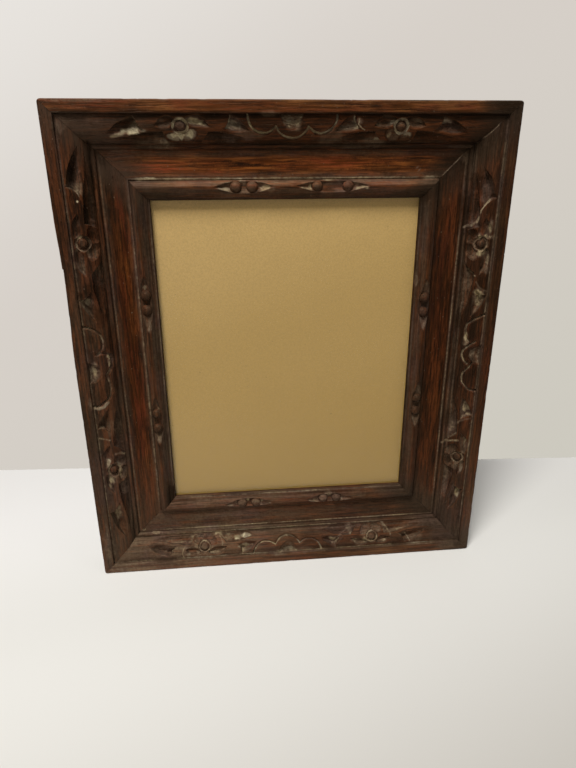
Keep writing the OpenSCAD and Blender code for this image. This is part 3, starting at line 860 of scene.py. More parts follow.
def gridNormals(points):
    along = np.gradient(points, axis=0)
    around = (np.roll(points, -1, axis=1) - np.roll(points, 1, axis=1)) / 2
    normal = np.cross(along, around)
    return normal / np.maximum(np.linalg.norm(normal, axis=2, keepdims=True), 1e-9)


# How far each point lies below the average of those round it, in millimetres
def hollowness(points, normal, rounds):
    soft = points.copy()
    for _ in range(rounds):
        ends = np.concatenate([soft[:1], soft, soft[-1:]])
        soft = (soft * 2 + ends[:-2] + ends[2:] + np.roll(soft, 1, 1) + np.roll(soft, -1, 1)) / 6
    return np.sum((soft - points) * normal, axis=2)


# Hand-planed unevenness, as two heights with the sizes of their waves
planing = {"outer": (0.10, 38, 0.05, 9), "inner": (0.08, 30, 0.04, 8)}
# Dents and nicks along the outer arris, as [wave size, least wave, depth]
dentValues = ((9.0, 0.4, 0.5), (2.4, 0.72, 0.9))


def planed(kind, face, u, a, seed):
    high, size, low, sizeLow = planing[kind]
    return face * (high * softNoise(u, a, size, seed + 11) + low * softNoise(u, a * 3, sizeLow, seed + 12))


def outerShape(side, section, p, seed):
    v = outerMoulding
    u, d, a = p[..., 0], p[..., 1], p[..., 2]
    first, last = section.rows["band"]
    rows = slice(first, last + 1)
    ub, ab = u[:, rows], a[:, rows].copy()
    cuts = carve(side, ub, ab, seed)
    angle = bandAngle(v, ab)
    d[:, rows] += cuts.depth * np.cos(angle)
    a[:, rows] -= cuts.depth * np.sin(angle)
    carved = Cuts(u.shape)
    carved.depth[:, rows], carved.pale[:, rows], carved.bead[:, rows] = cuts.depth, cuts.pale, cuts.bead
    d += planed("outer", d < v["rebateDepth"] - 1, u, a, seed)
    arris = smooth(4.0 - a, 0, 3) * smooth(5.0 - d, 0, 3)
    dents, nicks = [np.clip(softNoise(u, d * 0, size, seed + 13 + n) - least, 0, 1) * deep
                    for n, (size, least, deep) in enumerate(dentValues)]
    inset = arris * (dents + nicks)
    d += inset * 0.6
    a += inset * 0.7
    if side == "left":
        chip = chipInset(chipValues, u + 0.5 * softNoise(d, a, 3, seed + 15))
        a += chip * smooth(6.0 - a, 0, 6) * (0.35 + 0.65 * smooth(18.0 - d, 0, 16))
    if side not in stiles:
        n = nailValues
        for s in (-1, 1):
            for deep in n["cornerDepth"]:
                rho = np.hypot(u - s * (frameWidth / 2 - n["cornerIn"]), d - deep)
                a += (a < 1) * headHole(rho, n["cornerHead"])
    return carved


def innerShape(side, section, p, seed):
    v, n = innerMoulding, nailValues
    u, d, a = p[..., 0], p[..., 1], p[..., 2]
    rows = slice(section.rows["slope"][0], section.rows["quirk"][1])
    carved = Cuts(u.shape)
    d[:, rows], carved.depth[:, rows], carved.pale[:, rows], carved.bead[:, rows] = beadCuts(
        beadValues, side, u[:, rows], d[:, rows], a[:, rows], seed)
    d += planed("inner", d < v["glassDepth"] - 1, u, a, seed)
    place = n["slantStile"] if side in stiles else n["slantRail"]
    for s in (-1, 1):
        rho = np.hypot(u - s * place, (a - n["slantOffset"]) * 0.9)
        d -= (d > v["back"] - 0.5) * headHole(rho, n["slantHead"])
    return carved


def roundCorners(points, radius):
    halfWide, high = frameWidth / 2, frameHeight
    x, z = points[:, 0], points[:, 2]
    cx = np.sign(x) * (halfWide - radius)
    cz = np.where(z > high / 2, high - radius, radius)
    dx, dz = x - cx, z - cz
    outside = (dx * np.sign(x) > 0) & (dz * np.where(z > high / 2, 1, -1) > 0)
    far = np.hypot(dx, dz)
    scale = np.where(outside & (far > radius), radius / np.maximum(far, 1e-6), 1)
    points[:, 0] = cx + dx * scale
    points[:, 2] = cz + dz * scale


sidePlaces = {
    "bottom": (0, (0, faceY, 0)), "top": (180, (0, faceY, frameHeight)),
    "left": (90, (-frameWidth / 2, faceY, frameHeight / 2)),
    "right": (-90, (frameWidth / 2, faceY, frameHeight / 2)),
}
mitreSeam = 0.12        # half of the gap in a mitre
cornerRadius = 3.0      # the frame's four outer corners are worn round
sharpAngle = 48         # an edge between faces stays sharp from this many degrees


def sweepMesh(name, section, length, steps, finish):
    curve = bpy.data.curves.new(name + "Section", "CURVE")
    spline = curve.splines.new("POLY")
    spline.points.add(len(section.points) - 1)
    for point, (depth, offset) in zip(spline.points, section.points):
        point.co = (-depth * mm, -offset * mm, 0, 1)
    spline.use_cyclic_u = True
    holder = bpy.data.objects.new(name + "Section", curve)
    bpy.context.scene.collection.objects.link(holder)
    sweep = holder.modifiers.new("sweep", "NODES")
    sweep.node_group = mitreTree
    for label, value in (("Length", length * mm), ("Steps", steps), ("Seam", mitreSeam * mm),
                         ("Finish", finish)):
        sweep[mitreSockets[label]] = value
    shown = holder.evaluated_get(bpy.context.evaluated_depsgraph_get())
    mesh = bpy.data.meshes.new_from_object(shown)
    bpy.data.objects.remove(holder)
    bpy.data.curves.remove(curve)
    mesh.name = name
    return mesh


# Pale lines of dust, and painted highlights along some arrises, as [offset, half width, strength on each
# side]
dustAndHighlightLines = {
    "outer": [
        (0.4, 0.5, (0.45, 0.1, 0.1, 0.1)), (10, 0.9, (0, 1.05, 0.72, 0.72)),
        (28.3, 0.6, (0.05, 0.55, 0.1, 0.5)), (30.6, 1.1, (0.2, 0.9, 0.15, 0.45)),
    ],
    "inner": [
        (34.5, 0.8, (0.3, 0.95, 0.55, 0.72)), (36.5, 2, (0.35, 0.05, 0.14, 0)),
        (51.8, 1.4, (0.45, 0, 0.15, 0)), (54.4, 1.5, (1, 0.05, 0.72, 0.05)),
        (56.9, 1.2, (0.62, 0.1, 0.35, 0.3)), (58.8, 1.2, (0.55, 0.25, 0.25, 0.12)),
        (64.5, 3.4, (0.36, 0.2, 0.28, 0.28)), (68.6, 0.8, (0.3, 0.8, 0.72, 0.42)),
    ],
}
# Blackness across the moulding, painted shade in its creases and quirks, on its inner slopes and at the sight
# edge, as [offset, amount on each side]
shadeAcross = {
    "outer": [
        (0, 0.05, 0, 0.25, 0.15), (7.6, 0.05, 0, 0.3, 0.15), (8.9, 0.95, 0.1, 0.75, 0.55),
        (9.8, 1, 0.25, 0.15, 0.3), (12, 0.65, 0.2, 0.25, 0.25), (15, 0.3, 0, 0.15, 0.15),
        (26, 0.3, 0, 0.2, 0.2), (28.4, 0.7, 0.1, 0.55, 0.3), (29.3, 1, 0.75, 1, 0.95),
        (30.2, 0.3, 0.1, 0.35, 0.1), (31.6, 0.35, 0.2, 0.4, 0.2), (32.6, 0.8, 0.95, 0.95, 1),
        (34, 0.8, 0.95, 0.95, 1),
    ],
    "inner": [
        (33.4, 0.6, 0.9, 0.8, 0.95), (34.2, 0.15, 0.15, 0.2, 0.15), (37, 0.2, 0.3, 0.3, 0.25),
        (42, 0, 0.2, 0.15, 0.2), (45, 0, 0.15, 0.1, 0.15), (52, 0.1, 0.2, 0.05, 0.25),
        (54.8, 0.35, 0.35, 0.25, 0.55), (55.3, 0.6, 0.75, 0.8, 0.95), (56, 0.2, 0.3, 0.4, 0.6),
        (59, 0.1, 0.1, 0.35, 0.35), (61, 0.45, 0.05, 0.55, 0.25), (64, 0.7, 0.15, 0.75, 0.4),
        (67, 0.75, 0.2, 0.65, 0.5), (68.6, 0.95, 0.5, 0.8, 0.8), (70, 0.9, 0.5, 0.8, 0.8),
    ],
}
# Red worn wood across it, in the same way
redAcross = {
    "outer": [
        (0, 1, 0.65, 0.2, 0.35), (7.5, 0.9, 0.6, 0.15, 0.3), (9, 0, 0.15, 0, 0),
        (15, 0.15, 0.15, 0.08, 0.08), (26, 0.2, 0.15, 0.12, 0.08), (34, 0, 0.1, 0.05, 0),
    ],
    "inner": [
        (33, 0, 0, 0, 0), (36, 0.25, 0.1, 0.05, 0.05), (39, 0.65, 0.1, 0.3, 0.15),
        (42, 1.05, 0.1, 0.5, 0.2), (47, 1.05, 0.1, 0.62, 0.2), (51, 0.6, 0.1, 0.5, 0.12),
        (54, 0.2, 0.1, 0.15, 0.05), (57, 0.3, 0.2, 0.1, 0.1), (59.5, 0.8, 0.5, 0.4, 0.3),
        (62, 0.15, 0.3, 0.1, 0.25), (70, 0, 0.1, 0, 0.05),
    ],
}
# From here on, u runs to the right on rails and down on stiles, as seen from the front.
# Thin even film along each side, as [u, amount]
filmAlong = {
    "outer": {
        "top": [
            (-165, 0.22), (-125, 0.16), (-90, 0.06), (-45, 0.02), (178, 0.02),
        ],
        "bottom": [
            (-178, 0.5), (-115, 0.52), (-80, 0.46), (-50, 0.38), (-16, 0.26), (16, 0.15), (50, 0.14),
            (115, 0.16), (178, 0.18),
        ],
        "left": [
            (-180, 0.08), (-130, 0.03), (-95, 0.05), (-57, 0.13), (30, 0.14), (60, 0.16), (95, 0.2),
            (133, 0.22), (171, 0.2), (203, 0.26),
        ],
        "right": [
            (-180, 0.06), (-50, 0.03), (80, 0.03), (105, 0.06), (133, 0.14), (171, 0.2), (203, 0.22),
        ],
    },
    "inner": {
        "top": [
            (-130, 0.12), (-100, 0.08), (-60, 0.03), (-20, 0), (130, 0.02),
        ],
        "bottom": [
            (-140, 0.36), (-110, 0.38), (-86, 0.44), (-61, 0.44), (-36, 0.38), (-12, 0.32), (12, 0.22),
            (36, 0.17), (61, 0.16), (86, 0.14), (120, 0.08),
        ],
        "left": [
            (-160, 0.1), (-133, 0.04), (-100, 0), (40, 0), (80, 0.02), (103, 0.06), (133, 0.12),
            (165, 0.12),
        ],
        "right": [
            (-160, 0.03), (0, 0), (80, 0.01), (110, 0.03), (140, 0.1), (165, 0.14),
        ],
    },
}
# Strokes of dust along the carved edges, as [half width, amount, [u, offset] points]
strokesOf = {
    "top": [
        (0.45, 0.75, [(52.8, 12.2), (51.9, 16.3), (55.1, 19.3), (57.2, 20.3)]),
    ],
    "left": [
        (1.2, 0.8, [(33.5, 10.5), (34.4, 14), (33.2, 18.2), (29.6, 22)]),
        (0.8, 0.66, [(61.9, 11.3), (63, 15.2), (65, 19.1)]),
        (1, 0.62, [(79.6, 22.7), (80, 26.2), (83, 29)]),
        (0.5, 0.6, [(-145.8, 11.3), (-144.8, 16.2), (-140.6, 20.9), (-135.4, 23.6)]),
    ],
    "right": [
        (0.55, 0.72, [(-132.4, 15.8), (-128.5, 19.5), (-123.3, 22.4), (-118.2, 23.6)]),
        (1, 0.62, [(-118.2, 23.6), (-113.9, 25.5), (-111.5, 28.2), (-109.8, 31.7)]),
        (0.45, 0.34, [(-58.1, 10.4), (-59.1, 14.4), (-61.9, 18.1), (-65.8, 20.3)]),
        (0.6, 0.62, [(-70.7, 21.6), (-72.3, 24.7), (-75.8, 27.6)]),
        (0.8, 0.44, [(59.9, 10.4), (60.6, 16.3), (62.8, 20.7), (66.7, 23.6)]),
        (1, 0.56, [(83, 20.7), (83.6, 24), (84.9, 27.6), (89.2, 31.7)]),
        (0.45, 0.6, [(118.2, 26.9), (122, 22.4)]), (0.6, 0.6, [(133.8, 17.2), (137.5, 13.5)]),
    ],
    "bottom": [
        (0.5, 0.7, [(-103.4, 11.3), (-104.5, 15.2), (-102.6, 20.2)]),
        (0.7, 0.46, [(-102.6, 20.2), (-99.8, 24.4), (-97.1, 27.8)]),
        (0.6, 0.64, [(-66.2, 20.2), (-65.7, 23.1), (-67.3, 26.2), (-68.4, 27.8)]),
        (0.9, 0.58, [(40.7, 13.3), (45.1, 20.2), (51.8, 25), (60, 29.5)]),
        (0.45, 0.45, [(45.8, 15.2), (51.3, 21.7)]),
        (0.6, 0.62, [(90.9, 29.5), (96.1, 26.8), (98.2, 23.1), (98.7, 20.2)]),
        (0.6, 0.66, [(114, 20.9), (116.5, 16.9), (118.3, 12.3)]),
    ],
}
# Patches in the carving, as [u, offset, half length, half width, dust if above 0 or black if
# below, turn in degrees where there is one]. The black ones are painted shade on the cuts' shaded walls.
patchesOf = {
    "top": [
        (-85, 25.4, 6, 3, 1), (-73.4, 24, 4.6, 4, 1, -10), (-114, 21.3, 14, 2.4, 1, -8),
        (-69, 14.8, 8.5, 3.2, 0.98, 12), (-40, 16.5, 7, 4.2, 0.78, 25), (48, 16.5, 6, 3.4, 0.72, -20),
        (69, 28, 5, 1.8, 0.72), (121, 14.5, 6, 2.8, 0.75, 25), (99, 14.5, 6, 2, 0.5, 10),
        (3, 14, 8, 4.6, 0.66), (-120, 16, 6, 2.2, -0.75, -12), (102, 25.8, 11, 1.9, -0.95, 5),
        (-58, 24.4, 11, 1.4, -0.9, 3), (58, 23.6, 12, 1.5, -0.8, -3), (-112, 25.4, 12, 1.4, -0.9, -4),
        (117, 19.5, 8, 2.6, -0.6, 10), (72.5, 14.6, 4, 3.2, -0.7), (-88, 21.8, 3.2, 2.4, -0.95),
        (77, 25, 3.4, 2.6, 0.75), (91, 23.4, 4.2, 3, 0.96),
    ],
    "left": [
        (-144, 17.5, 5.5, 5.8, 0.64, -20), (-101, 13, 5, 1.8, 0.62), (-96, 21.5, 7, 2.4, 0.6, 15),
        (-83, 17, 7, 2.6, 0.5, 8), (1, 13.6, 9.5, 4.4, 0.7), (45, 16, 6, 3, 0.5),
        (60, 15.5, 3, 4.6, 0.75, 15), (88, 16.4, 7, 3.6, 0.86), (104, 16.8, 7, 3.6, 0.86, 5),
        (92, 24.9, 4.5, 2.4, 0.75, 8), (100.5, 25.4, 4.5, 2.2, 0.72, -8), (112, 14, 5, 2.8, 0.7),
        (130, 20.5, 9, 1.8, 0.6, -12), (116, 27, 10, 2.4, 0.55), (141, 18.5, 9, 3.8, 0.7),
        (-153, 18, 12, 4, -0.75, -10), (157, 15, 8, 2.4, -0.5, 14), (-112, 19, 5, 3, -0.6),
        (-126, 25, 14, 3.4, -0.95), (-101, 20.4, 3.4, 2.4, -0.8), (53, 18.5, 3.6, 2.8, -0.6),
    ],
    "right": [
        (-142, 19.5, 9, 4.4, 0.5, 22), (-114, 27, 2.5, 4.6, 0.5, -12), (-110, 12.8, 7, 2.2, 0.8),
        (-91, 20.5, 5, 2.2, 0.7, 20), (-84, 12.6, 8, 2, 0.66, 4), (-50, 16.5, 9, 4.2, 0.72, 8),
        (-62, 27.6, 9, 2.6, 0.45, 10), (-4, 16, 8, 4, 0.6), (48, 15.5, 10, 5, 0.8, 20),
        (72, 27.6, 11, 3.2, 0.55, -6), (84, 14, 10, 2.2, 0.66, -4), (111, 15, 9, 2.6, 0.62),
        (139, 15.2, 8, 3.6, 0.84, 10), (130, 27, 24, 2, 0.45), (108, 22, 7, 2.6, 0.78, 4),
        (-40, 21, 12, 1.4, -0.6, 5), (-150, 20, 8, 3, -0.4), (118, 18.4, 5, 2.4, -0.6),
    ],
    "bottom": [
        (-124, 15.5, 10, 2.6, 0.45, 8), (-114, 26, 18, 2.8, 0.62, -3), (-58, 26.8, 14, 3.8, 0.62, 8),
        (-43.5, 27.2, 7, 2.2, 0.94), (-2, 11, 8, 3, 0.85), (41, 15.5, 6, 3.8, 0.45),
        (72, 21.5, 7, 3, 0.5), (90, 21.5, 7, 3, 0.36, -10), (127, 14.5, 10, 3, 0.6, 6),
        (107, 24.5, 17, 2.8, 0.66, 6), (-92, 21.5, 7, 2.6, 0.5, 15), (-72, 21.5, 5, 2.6, 0.45, -15),
        (94, 13.5, 6, 2.4, 0.78), (62, 15, 7, 3, 0.5), (-117, 15, 3, 3.2, -0.6),
        (113, 15.4, 3.2, 3, -0.6), (-112, 19.6, 7, 0.9, -0.7), (-42, 21.5, 7, 0.9, -0.7, -10),
        (36, 21.4, 10, 1, -0.7), (64.5, 24.6, 4, 3.4, -0.5),
    ],
}
# Marks that lie in the carving and outside it, in the same way
marksOf = {
    "outer": {
        "top": [
            (-107.5, 20.6, 5, 1.5, 0.85), (-95, 30, 12, 4, 0.42), (-31.6, 23.5, 13, 4.4, 0.34),
            (6.2, 18.4, 2.8, 3, 0.5), (85.5, 19.6, 2.6, 2, -0.7), (89.8, 24.6, 3.6, 2.6, 0.62),
            (-125, 23.6, 8, 1.5, 0.78, -10), (32, 25, 12, 6, 0.3), (66, 29, 11, 3.2, 0.4),
            (-107, 30, 16, 2, 0.3), (137, 32, 14, 2, 0.22), (-148.4, 28.1, 1.5, 1.2, -1),
            (-150, 1, 26, 1.6, 0.45), (-92.5, 28.8, 6, 2.4, 0.62), (-141, 13.2, 8, 3.6, 0.36),
            (-93, 14.4, 4.6, 2.4, 0.4), (-165, 14, 6.5, 6, 0.34), (-44.5, 26.7, 7, 2.2, 0.32),
            (-39.5, 13.8, 3, 2, 0.55), (-114, 22, 7, 2.2, 1.1), (-81, 25, 4.4, 2.6, 1.1),
            (-73.2, 24, 4, 2.6, 1.1), (-83.4, 20.5, 2.6, 1.8, -0.8), (-80, 16, 2.8, 2, 0.7),
            (90, 24, 3.2, 2, 0.8), (85.5, 17.5, 3.2, 4.6, -0.8), (50, 31.6, 13, 3.8, 0.24),
            (52.8, 13.9, 3, 2.4, 0.5), (-15, 9.4, 8, 2, 0.4),
        ],
        "left": [
            (-134, 18.4, 1, 1, 1), (-66, 19.5, 9, 7.5, -0.8), (-57, 16, 4.2, 4.6, 0.8),
            (-62.4, 12.5, 3.2, 3.6, -0.7), (-59, 27.2, 14, 3.8, -0.7), (-4.4, 14.9, 3.4, 4, 0.62),
            (51.8, 20, 7, 2.6, -0.5), (-142.6, 22.2, 4.4, 1.6, 0.5), (-112, 13.4, 5.4, 5.2, -0.6),
            (134.8, 20.2, 4, 2.1, 0.62), (-116.6, 30.3, 15, 3.4, -0.6), (-46.5, 23.8, 11, 6, -0.75),
            (98, 18.6, 11, 7, 0.56), (-4.6, 26.4, 6, 1.8, 0.76), (-107, 17, 2.6, 3, 0.55),
            (55, 23.5, 10, 7.5, 0.36), (28.5, 8.6, 6, 2, 0.5), (-22, 29.4, 17, 4.2, -0.6),
            (22, 17.4, 9, 3.4, -0.45), (-188, 12.5, 8, 5, 0.36), (92, 16.4, 3, 2, 0.7),
            (-151, 29.4, 15, 2.6, -0.9), (-27, 14.7, 4.6, 3.6, -0.5), (8, 29.6, 16, 2, -0.6),
            (-92, 12, 3.4, 2.6, -0.6), (76, 22.4, 4.6, 2.6, -0.6), (172, 7, 24, 6, 0.5),
            (94.7, 17, 8, 4.6, 0.72), (98, 25.5, 4.6, 2.2, 0.7), (-107, 17, 2.6, 3, 0.75),
            (134.8, 20.2, 4, 2.1, 0.85), (1.5, 14.4, 6, 3.2, 0.8), (47, 15.7, 4.6, 2.6, 0.45),
            (-10.2, 26.4, 3, 1.8, 0.85, 24),
        ],
        "right": [
            (-56.3, 17.2, 4.4, 4.6, 0.9, 8), (-145, 26.6, 10, 4.4, -0.7), (-111.7, 13.7, 6, 2.4, 0.6),
            (-134.2, 13.6, 2.8, 2.6, -0.7), (-59, 11.2, 6, 2.2, -0.5), (-66, 16, 5.5, 5.5, -0.55),
            (-31, 29.6, 12, 2.8, -0.7), (4, 15.6, 5, 4.6, -0.6), (-74, 28.4, 8, 3.8, -0.5),
            (99.6, 18.9, 2.2, 2.7, -0.6), (-122, 32, 16, 3.4, -0.85), (-128, 27.4, 12, 2.6, -0.66),
            (-103, 17, 2.2, 7, 0.76), (-90, 18.4, 3.8, 4.4, 0.76), (-102.8, 22, 3.2, 3, 0.95),
            (-81, 17.6, 7, 2.6, -0.7), (109.5, 20.8, 5, 3.4, 0.55), (-12.2, 22.8, 3.6, 2.2, 0.6),
            (-94, 28.2, 11, 2.6, -0.8), (-106, 26, 5, 4.6, -0.75), (107, 27.4, 5, 2.6, -0.8),
            (-125, 15, 7, 4.6, -0.6), (64, 30, 12, 2.4, -0.6), (-1, 30.4, 5, 2.4, -0.5),
            (-60.7, 15.4, 2.4, 2.4, -0.8), (-54.5, 15.2, 2.8, 2.8, 0.92), (-87.4, 27, 3.6, 2.2, -0.75),
            (-76, 13.3, 3.6, 2, 0.55), (-71, 26.6, 3.6, 2.2, 0.45), (-133, 21.4, 2.8, 2.8, 0.4),
            (-51.5, 9.8, 3.6, 2.2, -0.6), (-20, 20, 5, 2.4, -0.6), (-112.5, 22.5, 3.2, 2.8, -0.7),
            (-17, 23.4, 5, 1.5, 0.85),
        ],
        "bottom": [
            (20, 21.5, 12, 5, -0.4), (-44, 18.7, 8, 3, 0.84), (40.6, 19.7, 4.4, 3, 0.62),
            (-128, 31.5, 16, 2.2, 0.45), (9, 11, 17, 3.6, 0.5), (-120, 11, 12, 2.8, -0.5),
            (124, 15.6, 10, 4.2, 0.5), (-81.4, 20.4, 2.8, 2.6, -0.6), (-71, 30.9, 11, 2, 0.5),
            (1, 23, 7, 3.6, -0.4), (63, 17.3, 4.2, 2.2, 0.6), (57.9, 27.8, 4.5, 3, 0.6),
            (155, 6.2, 12, 6, 0.4), (73.5, 16.8, 4, 3.4, 0.78), (82, 21.4, 3.4, 3, -0.75),
            (104, 31, 17, 6.4, -0.48), (-12, 9.4, 11, 3, 0.62), (-121, 20.6, 11, 3, 0.42),
            (39, 12.6, 7.5, 4.4, -0.5), (109, 11.8, 10, 4.4, -0.5), (-89.6, 14.9, 2.6, 2.4, 0.72),
            (-99, 13.8, 3, 3, 0.66), (-64, 30.4, 15, 1.4, 0.7), (-52, 26.2, 5, 2.6, 0.98),
            (-96, 22.6, 3.6, 2.4, -0.5), (-128, 32.6, 8, 2.6, 0.68), (41, 19.3, 4.4, 2.8, 0.85),
            (-69, 29.6, 5, 2, 0.75), (80.6, 20.8, 3.4, 2.6, -0.8), (136, 23, 6.4, 5, -0.6),
        ],
    },
    "inner": {
        "top": [
            (113.5, 54.5, 10, 2.2, 0.66), (34, 55.6, 12, 2.4, 0.5), (54.3, 58.6, 3.2, 2.2, 0.62),
            (-14, 62.5, 5, 2.8, 0.5), (-124, 36, 18, 4, 0.35), (-98, 36, 14, 3, 0.3),
            (7, 59, 5, 2.6, -0.6), (51.5, 62, 2.4, 2, -0.6), (-24.8, 62.2, 2.6, 2.4, -0.9),
            (104, 46.8, 3, 0.6, 0.8, -25), (106, 49, 2.2, 0.5, 0.7, 30), (-109, 54, 17, 1.4, 0.9),
            (-17.5, 60.5, 5, 2.4, 0.88), (17.5, 61, 3.2, 2.6, 0.86), (60, 60.5, 4, 2, 0.7),
            (-34, 57, 2.6, 2.4, 0.66), (33, 63.4, 7, 1.4, -0.8), (102, 43, 13, 6, -0.5),
            (-47, 66.7, 15, 2.4, 0.42), (-114, 54.1, 9, 1.8, 0.85), (-36.5, 56.5, 2.4, 1.8, 0.75),
            (79, 47.2, 15, 5.4, -0.7), (32, 55.5, 6, 1.8, 0.8), (62.4, 61.5, 2.6, 1.8, 0.72),
            (114, 54.5, 7, 1.8, 0.8), (33, 62.9, 5.4, 1.6, -0.85), (-24.6, 62.4, 2.8, 2.2, -0.9),
        ],
        "left": [
            (132, 66.5, 17, 5, -1), (71, 60.8, 4.6, 2, 0.62), (42.5, 62, 3, 2.6, 0.5),
            (-34, 61.4, 6, 2.4, 0.6), (-66, 60.2, 3, 2.6, 0.55), (-166.5, 40.8, 4, 7, 0.34),
            (-60, 60, 2.6, 2.8, -0.6), (111, 69, 6, 1, -0.5), (60, 68.4, 9, 1.5, 0.42),
            (42.2, 62, 2.8, 2.4, 0.7), (-66, 60, 2.8, 2.4, 0.75),
        ],
        "right": [
            (-165, 35, 6, 3, 0.42), (-35, 36.8, 9, 1.9, -0.5), (-134.5, 66, 6, 5, -0.9),
            (-122, 36, 20, 3, -0.8), (-66, 68.7, 9, 1.5, 0.55),
        ],
        "bottom": [
            (-140.3, 36, 1.7, 1.5, 0.95), (-140.3, 36, 0.8, 0.7, -1), (-40.5, 62.6, 3.2, 2.8, 0.92),
            (38.5, 65.2, 5.4, 4.2, 0.66), (-28.6, 61.2, 4.2, 2.6, 0.9), (-53, 61, 3.8, 2, 0.6),
            (53, 62, 3.4, 2.2, 0.6), (-103, 65.8, 18, 2.8, -0.6), (64, 64, 15, 5, 0.28),
            (-52, 57.2, 3.6, 2, -0.6), (-23, 58, 4.3, 1.8, -0.6), (53.4, 62, 4.3, 2.2, 0.62),
            (-72, 39.4, 22, 2.6, -0.5),
        ],
    },
}
# Brown film and blackness at each corner, and the corners at the two ends of each side
cornerTone = {
    "topLeft": (0.75, 0.00), "topRight": (0.80, 0.97), "bottomLeft": (0.35, 0.15),
    "bottomRight": (0.70, 0.85)}
cornersOf = {"top": ("topRight", "topLeft"), "bottom": ("bottomLeft", "bottomRight"),
             "left": ("topLeft", "bottomLeft"), "right": ("bottomRight", "topRight")}
# The ends whose mitre shows a thin pale line, and the stretches of offset where it shows, each as
# [starts, full from, full to, ends]
seamEnds = {"top": -1, "right": 1}
seamStretches = ((14, 17, 25, 27), (36, 38, 52, 54))
ageValues = {
    "front": 18,                      # only what is less deep than this is aged
    "fineRounds": 3, "wideRounds": 26,      # how far round a point its hollowness is measured
    "gridStep": (0.52, 0.35),         # millimetres between points, along and across the carving
    "crease": (0.05, 0.24), "creaseDust": (0.30, 0.55, 0.40, 0.65),
    "upward": (0.30, 0.90, 0.20),     # dust and painted highlight on what faces up: from, full at, and how much
    "edge": (0.02, 0.14, 0.45),       # rubbed edges, in the same way
    "hollow": (0.15, 1.2, 0.80),      # painted shade in hollows, in the same way
    "settledLeast": (0.15, 0.60, 0.50, 0.68), "cutDust": (1.0, 0.86, 0.66, 0.72),
    # Black in the cuts, along their steep edges and round the beads' feet is painted shade
    "cutShade": (0.85, 0.20, 0.60, 0.40), "outlineShadow": (0.95, 0.85, 0.92, 0.80),
    "beadDust": (0.30, 0.50, 0.15, 0.16), "ringShade": (1.0, 0.85, 0.92, 0.80),
    "beadBlack": 0.50, "cornerReach": 34.0,
    "topEdge": 9, "topEdgeLess": 0.8,       # the top rail's fillet has less film
}
# Noise that varies the ageing, as [wave size, seed]
ageNoise = {"broad": (17, 7), "small": (3.5, 9), "ragged": (2.6, 21), "raggedFine": (1.3, 22)}


class Face:
    # What the ageing of one side is worked out from
    def __init__(self, kind, side, grid, offset, carved, normal, up, v):
        self.kind, self.side, self.number = kind, side, sideOrder.index(side)
        self.u, self.offset, self.up, self.carved = grid[..., 0], offset, up, carved
        self.along = self.u * viewedAlong[side]
        self.fine = hollowness(grid, normal, v["fineRounds"])
        self.wide = hollowness(grid, normal, v["wideRounds"])
        noise = {label: softNoise(self.u, offset, *wave) for label, wave in ageNoise.items()}
        self.broad, self.small = 0.5 + 0.5 * noise["broad"], 0.5 + 0.5 * noise["small"]
        self.ragged = noise["ragged"] + 0.6 * noise["raggedFine"]
        dusty = carved.pale >= 0.9
        self.inCut = np.where(dusty, smooth(carved.depth, 0.5, 1.3), smooth(carved.depth, 0.4, 1.6))
        alongU, alongA = np.gradient(carved.depth, axis=0), np.gradient(carved.depth, axis=1)
        steep = np.hypot(alongU / v["gridStep"][0], alongA / v["gridStep"][1])
        # Painted shadow along the steep walls of the cuts
        self.outline = smooth(steep, 1.0, 2.6) * (1 - carved.bead) * (carved.pale < 0.9)
        # Painted shade round the foot of each bead
        self.ring = np.clip(1 - np.abs(carved.bead * 2 - 1), 0, 1)

    # A value in a table of rows of [offset, value on each side]
    def across(self, table):
        rows = np.array(table[self.kind], float)
        return np.interp(self.offset, rows[:, 0], rows[:, self.number + 1])


# Brown film and blackness near the mitres
def cornerMarks(f, v):
    half = np.max(f.u, axis=0, keepdims=True)
    reach = v["cornerReach"]
    near = smooth(reach - (half - np.abs(f.u)) + reach * 0.5 * (f.broad - 0.5), 0, reach)
    first, last = [cornerTone[corner] for corner in cornersOf[f.side]]
    film, black = [near * np.where(f.u > 0, last[n], first[n]) for n in (0, 1)]
    if f.side == "top":
        film = film * (1 - v["topEdgeLess"] * (f.offset < v["topEdge"]) * (f.along < 0))
    return film, black


# Dust in the cuts and creases, dust and painted highlight on what faces up, and pale lines along the
# moulding, partly painted highlights
def settle(f, v, inside, clear):
    start, full = v["crease"]
    crease = v["creaseDust"][f.number] * smooth(f.fine, start, full) * (0.45 + 0.55 * f.broad)
    start, full, most = v["upward"]
    upward = most * smooth(f.up, start, full) * (0.5 + 0.8 * f.broad)
    rows = np.array(filmAlong[f.kind][f.side], float)
    thin = np.interp(f.along, rows[:, 0], rows[:, 1]) * (0.8 + 0.4 * f.broad) * (1 - 0.6 * f.inCut)
    if f.side == "top":
        thin = thin * (1 - v["topEdgeLess"] * (f.offset < v["topEdge"]))
    dust = np.maximum.reduce([inside, crease, upward, thin])
    # Lines of dust, some of them painted highlights on arrises
    for place, halfWidth, strengths in dustAndHighlightLines[f.kind]:
        line = np.exp(-((f.offset - place) / halfWidth) ** 2) * (0.7 + 0.3 * f.broad + 0.12 * f.ragged)
        dust = np.maximum(dust, line * strengths[f.number] * (0.3 + 0.7 * clear))
    return dust * (1 - f.carved.bead) + f.carved.bead * v["beadDust"][f.number]


